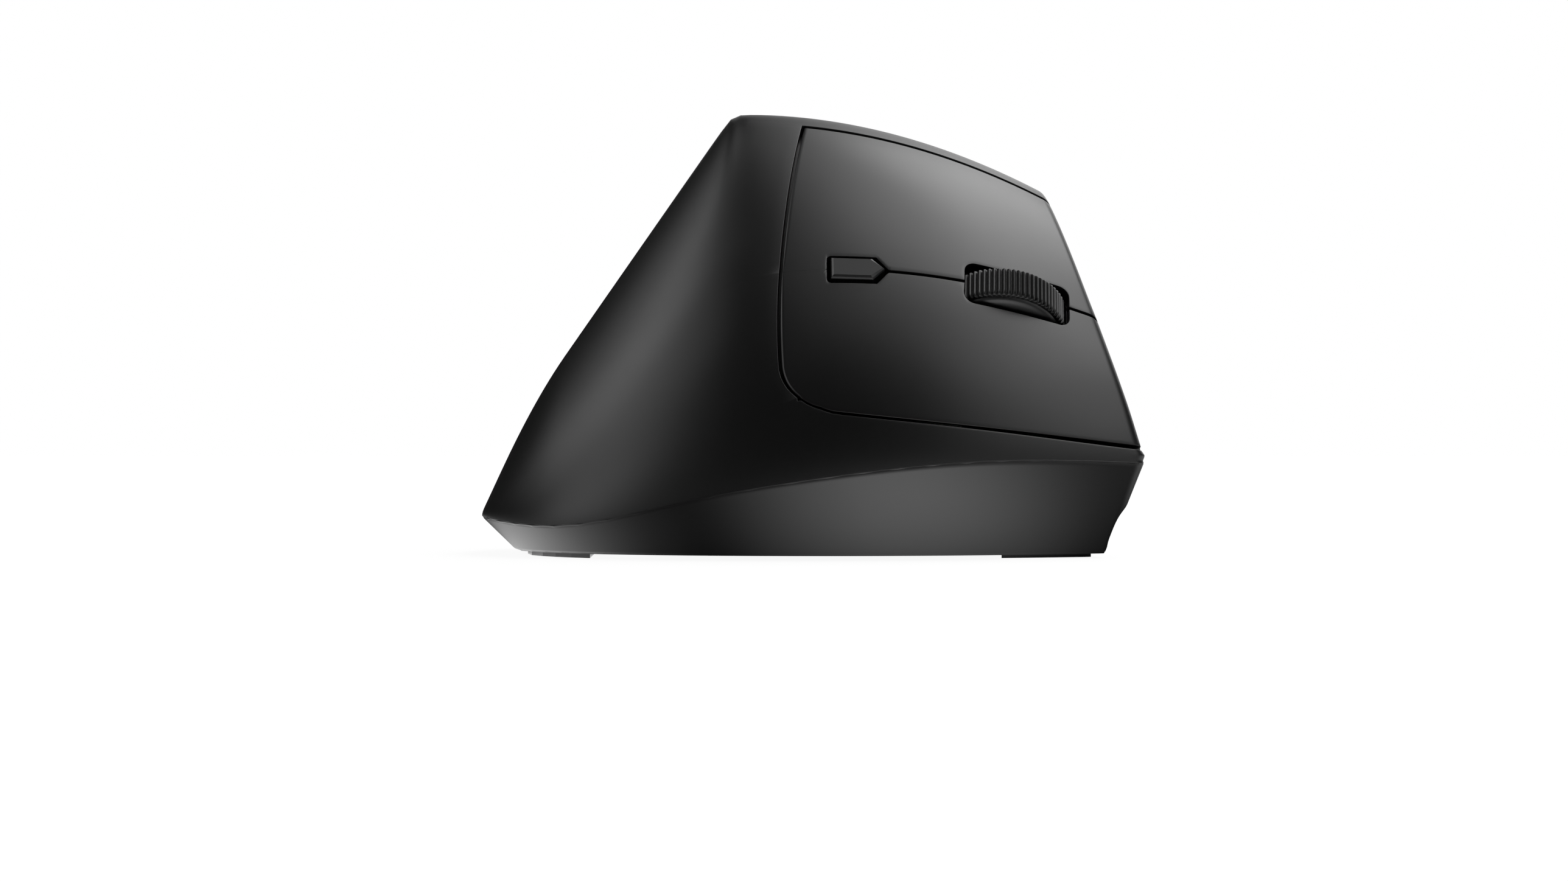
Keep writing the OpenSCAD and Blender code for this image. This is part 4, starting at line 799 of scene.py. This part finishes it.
# %% Skirt
skirt_t = join([[0, 0.006, 0.015, 0.03], steps(0.06, 0.94, 44),
                [0.96, 0.975, 0.987, 0.995, 1]])[::-1]
skirt_grid = skirt(skirt_t[None, :], 1.0)
run = np.roll(skirt_grid, -1, 0) - np.roll(skirt_grid, 1, 0)
skirt_out = unit(np.cross(run, np.gradient(skirt_grid, axis=1)))
depth = skirt_grid[..., 2] - FOOT
edge = np.minimum(depth, np.abs(skirt_grid[..., 2] - (crease_loop[:, None, 2] - CREASE_GAP)))
skirt_lift = SKIN_LIFT * ease((edge - 0.1) / 0.4) * (1 - 0.7 * front_share[:, None])
skirt_lift = skirt_lift - edge_drop(depth, FOOT_EDGE)
skirt_top = skirt_grid + skirt_lift[..., None] * skirt_out
skirt_under = skirt(skirt_t[None, :], INNER_SHARE)
skirt_skin = store("skirt_skin", np.stack([skirt_top, skirt_under]),
                   shell_faces(skirt_grid.shape[:2], wrap=True), "case")

# %% [markdown]
# ## The speed button
# A small five-sided cap behind the wheel, made as a profile carried round its outline. The
# wall leans in a little and the flat top has a narrow bevel. The bevel catches the light, so
# its edges stay crisp.

# %% Speed button
SPEED_PROUD, SPEED_LEAN, SPEED_BEVEL, SPEED_SKIRT = 0.8, 0.14, 0.26, 2.0


def arrow(grow):
    """The five corners of the cap, each side cut into short lengths."""
    x, y = SPEED_LENGTH / 2 + grow, SPEED_WIDTH / 2 + grow
    corners = np.array([(-x, -y), (x - SPEED_POINT, -y), (x, 0), (x - SPEED_POINT, y), (-x, y), (-x, -y)])
    return join([line(corners[i], corners[i + 1], 6)[:-1] for i in range(5)])


HALF = SPEED_WIDTH / 2
BEVEL_END = SPEED_LEAN + SPEED_BEVEL
levels = np.array([(HALF, -SPEED_SKIRT), (0, -SPEED_SKIRT), (0, SPEED_PROUD - 0.66),
                   (SPEED_LEAN, SPEED_PROUD - 0.3), (BEVEL_END, SPEED_PROUD - 0.04),
                   (BEVEL_END + 0.04, SPEED_PROUD), (1.2, SPEED_PROUD), (HALF, SPEED_PROUD)])
origin, run_dir, up_dir, out_dir = speed_place
rings = np.stack([arrow(-inset) for inset, _ in levels], 1)
cap = origin + rings[..., :1] * run_dir + rings[..., 1:] * up_dir + levels[None, :, 1:] * out_dir
speed_cap = store("speed_cap", cap, grid_quads(*cap.shape[:2], wrap=True), "speed_button",
                  ["speed_button"], sharp=15)

# %% [markdown]
# ## The wheel
# The tyre is rubber with rounded ribs across its tread; their ends run out in small domes.
# The hub's flank swells out beside the tread and is plain satin plastic. The ribs are part
# of the surface's formula, since 84 copies of one rib would have to be joined to the tread.

# %% Wheel surfaces
RIBS, RIB_POINTS, RIB_HEIGHT, RIB_HALF, TYRE_BORE = 84, 12, 0.5, 0.4, 9.6
WHEEL_RADIUS, TYRE_WIDTH, WHEEL_SINK = 12.0, 6.0, -9.0


def around_wheel(turn, radius, across):
    """Points round the wheel's axle: forward and outward in the slot's frame, and across."""
    origin, run, up, out = wheel_place
    centre = origin + WHEEL_SINK * out
    radial = np.cos(turn)[..., None] * out + np.sin(turn)[..., None] * run
    return centre + radius[..., None] * radial + across[..., None] * up


def tyre(turn, s):
    """A flat tread with ribs, closed by rounded shoulders: a rib's height is the root of
    1 - |phase / 0.4|^1.2, and s goes from one flank's inner edge over the tread to the other."""
    across = TYRE_WIDTH / 2 * np.clip(s, -1, 1)
    phase = (turn * RIBS / (2 * np.pi) + 0.5) % 1 - 0.5
    rib = np.sqrt(np.maximum(0, 1 - np.abs(phase / RIB_HALF) ** 1.2))
    end = np.sqrt(np.maximum(0, 1 - np.clip((np.abs(across) - 2.35) / 0.65, 0, 1) ** 2))
    drop = 0.35 * (1 - end)
    flank = np.maximum(0, np.abs(s) - 1) * 1.6
    return WHEEL_RADIUS - RIB_HEIGHT - drop - flank + RIB_HEIGHT * rib * end, across


tread = np.sin(np.radians(steps(-90, 90, 26)))
tyre_s = join([[-2.0], tread, [2.0]])
tyre_turn = np.arange(RIBS * RIB_POINTS) * 2 * np.pi / (RIBS * RIB_POINTS)
tyre_r, tyre_x = tyre(tyre_turn[:, None], tyre_s[None, :])
tyre_grid = around_wheel(tyre_turn[:, None] + 0 * tyre_r, tyre_r, tyre_x)
tyre_inner = around_wheel(tyre_turn[:, None] + 0 * tyre_r, TYRE_BORE + 0 * tyre_r, tyre_x)
ribbed_tyre = store("ribbed_tyre", np.stack([tyre_grid, tyre_inner]),
                    shell_faces(tyre_grid.shape[:2], wrap=True), "wheel", ["wheel_tyre"])

# %% Wheel hub
HUB_STEPS = 96
flank = np.array([(9.5, 2.6), (10.7, 2.75), (10.9, 2.95), (10.8, 3.15), (10.4, 3.45), (9.7, 3.7),
                  (8.6, 3.85), (7.2, 3.9), (5.0, 3.9), (3.0, 3.9), (3.0, 4.8), (1.5, 4.8)])
hub_profile = join([flank, flank[::-1] * (1, -1)])
hub_turn = np.arange(HUB_STEPS)[:, None] * 2 * np.pi / HUB_STEPS
hub_grid = around_wheel(hub_turn + 0 * hub_profile[:, 0], hub_profile[:, 0] + 0 * hub_turn,
                        hub_profile[:, 1] + 0 * hub_turn)
wheel_hub = store("wheel_hub_flanks", hub_grid, grid_quads(*hub_grid.shape[:2], wrap=True, close=True),
                  "wheel", ["wheel_hub"], sharp=40)

# %% [markdown]
# ## Writing shaders as sums
# A material is a small program. One class holds a socket, turns Python's own operators into
# Math nodes, and has one method for every other node, so a finish reads as a formula.

# %% Shader helper
class Tone:
    """A value in a material's node tree."""

    def __init__(self, tree, socket=None):
        self.tree, self.socket = tree, socket

    def node(self, kind, settings=None, sockets=None, output=0):
        """Adds a node: its settings first, then the values or links of its sockets."""
        made = self.tree.nodes.new("ShaderNode" + kind)
        for name, value in (settings or {}).items():
            setattr(made, name, value)
        for name, value in (sockets or {}).items():
            if isinstance(value, Tone):
                self.tree.links.new(value.socket, made.inputs[name])
            else:
                made.inputs[name].default_value = value
        return Tone(self.tree, made.outputs[output])

    def math(self, operation, a, b):
        """One Math node on two values."""
        return self.node("Math", {"operation": operation}, {0: a, 1: b})

    def __add__(self, other):
        return self.math("ADD", self, other)

    def __sub__(self, other):
        return self.math("SUBTRACT", self, other)

    def __rsub__(self, other):
        return self.math("SUBTRACT", other, self)

    def __mul__(self, other):
        return self.math("MULTIPLY", self, other)

    def __gt__(self, other):
        return self.math("GREATER_THAN", self, other)

    __radd__, __rmul__ = __add__, __mul__


print("names in the class:", len(vars(Tone)))

# %% Building a finish
def new_finish(name):
    """An empty material with its shader, output and Object coordinates."""
    finish = bpy.data.materials.new(name)
    finish.use_nodes = True
    tree = finish.node_tree
    place = Tone(tree).node("TexCoord", output="Object")
    return finish, tree.nodes["Principled BSDF"], place


def feed(shader, **values):
    """Sets or links the shader's sockets; an underscore in a name stands for a space."""
    for name, value in values.items():
        socket = shader.inputs[name.replace("_", " ")]
        if isinstance(value, Tone):
            shader.id_data.links.new(value.socket, socket)
        else:
            socket.default_value = value


def noise(place, scale, detail=2.0, rough=0.5):
    """A noise with so many waves to the metre."""
    return place.node("TexNoise", None, {"Vector": place, "Scale": scale, "Detail": detail,
                                         "Roughness": rough})


def blend(first, second, amount):
    """A colour between two, by a value from 0 to 1."""
    return amount.node("Mix", {"data_type": "RGBA"}, {0: amount, 6: (*first, 1), 7: (*second, 1)}, output=2)


def relief(height, depth):
    """A bumpy normal, whose hills are a depth in metres."""
    return height.node("Bump", None, {"Height": height, "Distance": depth, "Strength": 1.0}, output="Normal")


print("shader helper ready")

# %% [markdown]
# ## Satin black plastic
# The shells are moulded in a spark-eroded tool, which leaves a grain of about a fifth of a
# millimetre. It is far too fine to model, so a noise drives a Bump node. A second, broad
# noise makes the gloss uneven, as skin oil and handling do.

# %% Plastics and rubber
BLACK = (0.0014, 0.0014, 0.0015), (0.0026, 0.0026, 0.0028)
SOOT = (0.0015, 0.0015, 0.0015), (0.003, 0.003, 0.003)


def satin_plastic(name, dark, light, rough, grain, depth, shine=0.5):
    """A broad noise mixes two colours and moves the roughness, a fine one makes the grain."""
    finish, shader, place = new_finish(name)
    broad = noise(place, 38.0, 3.0)
    fine = noise(place, grain, 2.0, 0.6)
    feed(shader, Base_Color=blend(dark, light, broad),
         Roughness=broad * 0.08 + fine * 0.05 + (rough - 0.065),
         Normal=relief(fine, depth), IOR=1.5, Specular_IOR_Level=shine)
    return finish


shell_finish = satin_plastic("satin_shell", *BLACK, 0.37, 5200.0, 4e-6)
key_finish = satin_plastic("satin_key", *BLACK, 0.37, 6000.0, 3e-6)
rubber_finish = satin_plastic("soft_rubber", *SOOT, 0.34, 3500.0, 6e-6, 0.34)
glide_finish = satin_plastic("glide_sheet", (0.012, 0.012, 0.013), (0.02, 0.02, 0.021), 0.3, 2500.0, 5e-6)
chip_finish = satin_plastic("chip_housing", (0.02, 0.02, 0.021), (0.035, 0.035, 0.036), 0.5, 4000.0, 8e-6)
plunger_finish = satin_plastic("ivory_plunger", (0.62, 0.61, 0.57), (0.7, 0.69, 0.65), 0.35, 3000.0, 3e-6)
print("plastics:", len(bpy.data.materials))

# %% [markdown]
# ## Metals, boards and cables
# These are seen only when the battery door or the receiver is out, but each still gets its
# own finish: drawn lines on steel, tracks under the board's lacquer and ridges over the
# cable's conductors.

# %% Inner finishes
def drawn_metal(name, dark, light, rough, stretch):
    """A noise stretched along one axis draws the lines."""
    finish, shader, place = new_finish(name)
    along_line = place.node("Mapping", None, {"Vector": place, "Scale": stretch})
    lines = noise(along_line, 900.0, 3.0)
    feed(shader, Base_Color=blend(dark, light, lines), Metallic=1.0, Roughness=lines * 0.2 + (rough - 0.1),
         Normal=relief(lines, 3e-6))
    return finish


def lacquered_board():
    """Raised lines along the edges of cells stand for tracks under the lacquer."""
    finish, shader, place = new_finish("lacquered_board")
    cells = place.node("TexVoronoi", {"feature": "DISTANCE_TO_EDGE"}, {"Vector": place, "Scale": 420.0})
    tracks = 1 - (cells > 0.12)
    patch = noise(place, 120.0)
    lacquer = blend((0.004, 0.035, 0.012), (0.008, 0.06, 0.022), tracks * 0.7 + patch * 0.3)
    feed(shader, Base_Color=lacquer, Roughness=patch * 0.15 + 0.25, Normal=relief(tracks, 2e-5))
    return finish


def flat_cable():
    """A wave makes one ridge over each conductor."""
    finish, shader, place = new_finish("flat_cable")
    ridges = place.node("TexWave", None, {"Vector": place, "Scale": 320.0, "Distortion": 0.0})
    feed(shader, Base_Color=blend((0.55, 0.56, 0.56), (0.75, 0.75, 0.73), ridges),
         Roughness=ridges * 0.1 + 0.3, Normal=relief(ridges, 3e-5))
    return finish


def clear_lens():
    """Clear plastic with a faint haze."""
    finish, shader, place = new_finish("clear_lens")
    haze = noise(place, 700.0)
    feed(shader, Base_Color=blend((0.8, 0.84, 0.87), (0.88, 0.91, 0.93), haze), Roughness=haze * 0.06 + 0.04,
         Transmission_Weight=0.85, IOR=1.49)
    return finish


steel_finish = drawn_metal("drawn_steel", (0.5, 0.5, 0.52), (0.66, 0.66, 0.68), 0.32, (1.0, 0.06, 1.0))
contact_finish = drawn_metal("nickel_contact", (0.56, 0.52, 0.44), (0.7, 0.66, 0.58), 0.3, (1.0, 1.0, 0.08))
cell_finish = drawn_metal("cell_can", (0.42, 0.43, 0.46), (0.55, 0.56, 0.6), 0.36, (1.0, 0.05, 1.0))
board_finish, cable_finish, lens_finish = lacquered_board(), flat_cable(), clear_lens()
print("materials:", len(bpy.data.materials))

# %% [markdown]
# ## Dressing the pieces
# New pieces get their finish by name. A solid that stays gets it in the slots of its own
# object, and its mesh isn't touched.

# %% Assign finishes
WORN_BY = {
    shell_finish: "lower_case battery_door wheel_yoke key_frame speed_holder thumb_bracket receiver_cap",
    key_finish: "power_slider",
    glide_finish: "front_foot rear_foot",
    steel_finish: "wheel_axle pivot_rod power_switch receiver_plug case_screws frame_screws thumb_screws",
    board_finish: "key_board thumb_board main_board",
    chip_finish: "left_switch right_switch speed_switch wheel_switch back_switch forward_switch"
                 " encoder_emitter encoder_detector sensor_chip radio_chip",
    plunger_finish: "left_plunger right_plunger speed_plunger wheel_plunger back_plunger forward_plunger",
    contact_finish: "front_contact rear_contact",
    cell_finish: "battery", lens_finish: "sensor_lens", cable_finish: "key_ribbon thumb_ribbon",
}
for finish, names in WORN_BY.items():
    for name in names.split():
        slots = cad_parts[name].material_slots
        for index in range(len(slots)):
            slots[index].material = finish
SKINS = {shell_finish: [palm_cover, shoulder_lap, key_ledge, rear_ledge, thumb_panel, skirt_skin],
         rubber_finish: [ribbed_tyre],
         key_finish: [upper_plate, lower_plate, back_pad, forward_pad, speed_cap, wheel_hub]}
for finish, pieces in SKINS.items():
    for piece in pieces:
        piece.data.materials.append(finish)
print("solids dressed:", sum(len(names.split()) for names in WORN_BY.values()))

# %% [markdown]
# ## Camera
# The picture is taken from straight beside the mouse, at the height of the skirt's top, so
# the view is level and needs no shift.

# %% Camera
FOCAL_PIXELS, PHOTO_PIXELS, SENSOR = 4515, 2576, 36.0
camera_data = bpy.data.cameras.new("side_camera")
camera_data.sensor_fit, camera_data.sensor_width = "HORIZONTAL", SENSOR
camera_data.lens = FOCAL_PIXELS / PHOTO_PIXELS * SENSOR
camera_data.clip_start, camera_data.clip_end = 0.01, 50
camera = bpy.data.objects.new("side_camera", camera_data)
camera.location = (0.5, -0.004, 0.0205)
camera.rotation_euler = (np.pi / 2, 0, np.pi / 2)
scene.collection.objects.link(camera)
bpy.context.scene.camera = camera
print("lens", round(camera_data.lens, 2), "mm")

# %% [markdown]
# ## Floor and background
# The floor and the world look white to the camera and through glass, by the Light Path node.
# Black plastic shows mostly what it reflects, so for reflected rays the floor glows with painted
# light, which lights the plastic besides the lamps: the glow is dark beside the mouse, with a few
# round pools of painted glow, and pale further away.

# %% Helpers for the floor
# Pools of painted glow that the floor shows only in reflections: centre, then radius and strength.
PAINTED_GLOW_POOLS = {(0.06, 0.022, 0.0): (0.052, 3.2), (0.012, -0.054, 0.0): (0.034, 2.1),
         (0.028, -0.04, 0.0): (0.03, 0.5), (0.055, 0.055, 0.0): (0.04, 0.9),
         (0.012, 0.102, 0.0): (0.036, 1.2)}


def rays(tree):
    """The Light Path's values for camera, glass and glossy rays."""
    path = tree.nodes.new("ShaderNodeLightPath")
    kinds = ("Camera", "Transmission", "Glossy")
    return [Tone(tree, path.outputs["Is " + kind + " Ray"]) for kind in kinds]


def ramp(value, start, end):
    """A smooth rise from 0 at the start to 1 at the end."""
    return value.node("MapRange", {"interpolation_type": "SMOOTHSTEP"},
                      {"Value": value, "From Min": start, "From Max": end})


def round_patch(place, centre, radius, strength):
    """A round patch on the floor with a smooth edge, strongest in its middle: it paints the pools of glow
    and weighs the floor's own shading near the mouse.
    """
    away = place.node("VectorMath", {"operation": "DISTANCE"}, {0: place, 1: centre}, output="Value")
    return (1 - ramp(away, 0.0, radius)) * strength


# The pools are painted glow, seen only in reflections.
print("pools of light on the floor:", len(PAINTED_GLOW_POOLS))

# %% Floor
# Strengths of the floor's pale painted glow in reflections and of its white for the camera, and the share of
# painted glow in what reflected rays see of the floor.
PALE_GLOW, WHITE, GLOW_SHARE = 0.9, 1.04, 0.95
SHADE_RADIUS, SHADE = 0.25, 0.12
floor_mesh = bpy.data.meshes.new("studio_floor")
floor_mesh.from_pydata([(-3, -3, 0), (3, -3, 0), (3, 3, 0), (-3, 3, 0)], [], [(0, 1, 2, 3)])
studio_floor = bpy.data.objects.new("studio_floor", floor_mesh)
scene.collection.objects.link(studio_floor)
floor_finish, floor_shader, floor_place = new_finish("studio_white")
floor_tree = floor_finish.node_tree
seen, through, mirrored = rays(floor_tree)
white = seen + through
x, y = (floor_place.node("SeparateXYZ", None, {0: floor_place}, output=axis) for axis in "XY")
# Painted light in reflections: the floor glows pale, except in a dark zone round the mouse's finger side,
# and glows brighter in the round pools.
no_glow_zone = ramp(x, -0.09, -0.03) * ramp(y, -0.12, -0.075) * (1 - ramp(y, 0.1, 0.15))
painted_glow = sum(round_patch(floor_place, centre, *rest) for centre, rest in PAINTED_GLOW_POOLS.items()) + PALE_GLOW * (1 - no_glow_zone)
near = round_patch(floor_place, (0.0, 0.0, 0.0), SHADE_RADIUS, SHADE)
feed(floor_shader, Base_Color=(0.8, 0.8, 0.8, 1), Roughness=0.9)
glow = white.node("Emission", None, {"Color": (1, 1, 1, 1), "Strength": white * WHITE + mirrored * painted_glow})
share = white * (1 - near) + mirrored * GLOW_SHARE
both = white.node("MixShader", None, {0: share, 1: Tone(floor_tree, floor_shader.outputs[0]), 2: glow})
floor_tree.links.new(both.socket, floor_tree.nodes["Material Output"].inputs["Surface"])
floor_mesh.materials.append(floor_finish)
print("floor shows its own shading by up to", SHADE)

# %% World
DIM = 0.004
world = bpy.data.worlds.new("studio_world")
world.use_nodes = True
bpy.context.scene.world = world
background = world.node_tree.nodes["Background"]
background.inputs["Color"].default_value = (1, 1, 1, 1)
seen, through, mirrored = rays(world.node_tree)
world.node_tree.links.new((seen + through + mirrored * DIM).socket, background.inputs["Strength"])
print("world is white to the camera,", DIM, "in reflections")

# %% [markdown]
# ## Lamps
# Large soft lamps give satin plastic its broad gradients. A few big ones would flatten the
# palm, so many small ones of low power stand in a ring, and each shapes one part.

# %% Lamps
LAMP_DISTANCE, LAMP_AIM = 0.8, Vector((0.0, 0.0, 0.035))


def softbox(name, turn, rise, size, power):
    """A rectangular lamp that looks at the mouse from a compass direction and a height,
    both in degrees."""
    data = bpy.data.lights.new(name, "AREA")
    data.shape, data.size, data.size_y, data.energy = "RECTANGLE", size[0], size[1], power
    lamp = bpy.data.objects.new(name, data)
    a, e = np.radians(turn), np.radians(rise)
    ray = Vector((np.cos(e) * np.cos(a), np.cos(e) * np.sin(a), np.sin(e)))
    lamp.location = LAMP_AIM + ray * LAMP_DISTANCE
    lamp.rotation_euler = ray.to_track_quat("Z", "Y").to_euler()
    scene.collection.objects.link(lamp)


SOFTBOXES = {
    "front": (95, 52, (0.4, 0.4), 0.86), "front_left": (135, 52, (0.4, 0.4), 1.83),
    "front_right": (75, 52, (0.4, 0.4), 1.16), "front_middle": (72, 33, (0.3, 0.3), 0.39),
    "front_low": (60, 18, (0.3, 0.3), 0.51), "front_high": (115, 72, (0.4, 0.3), 0.58),
    "side_low": (42, 18, (0.3, 0.3), 0.33), "side_middle": (45, 40, (0.3, 0.3), 0.58),
    "side_high": (20, 60, (0.4, 0.3), 0.26), "side_top": (60, 76, (0.3, 0.3), 0.49),
    "rear_low": (-50, 12, (0.2, 0.35), 0.3), "rear_strip": (-64, 14, (0.25, 0.4), 0.62),
    "rear_middle": (-80, 31, (0.3, 0.25), 0.36), "rear_side": (-62, 40, (0.3, 0.3), 0.2),
    "rear_high": (-100, 38, (0.3, 0.25), 0.56), "rear_top": (-105, 58, (0.3, 0.3), 0.11),
    "tail_top": (-130, 68, (0.3, 0.3), 0.18), "tail": (-122, 35, (0.3, 0.25), 0.13),
    "thumb_front": (155, 48, (0.4, 0.4), 0.36), "thumb_side": (176, 26, (0.5, 0.4), 0.6),
    "thumb_low": (150, 16, (0.6, 0.3), 0.6)}
for name, (turn, rise, size, power) in SOFTBOXES.items():
    softbox(name + "_softbox", turn, rise, size, power)
bpy.context.scene.view_settings.view_transform = "Standard"
print("lamps:", len(SOFTBOXES))

# %% [markdown]
# The dressed mouse has to stay inside the box of its solids.
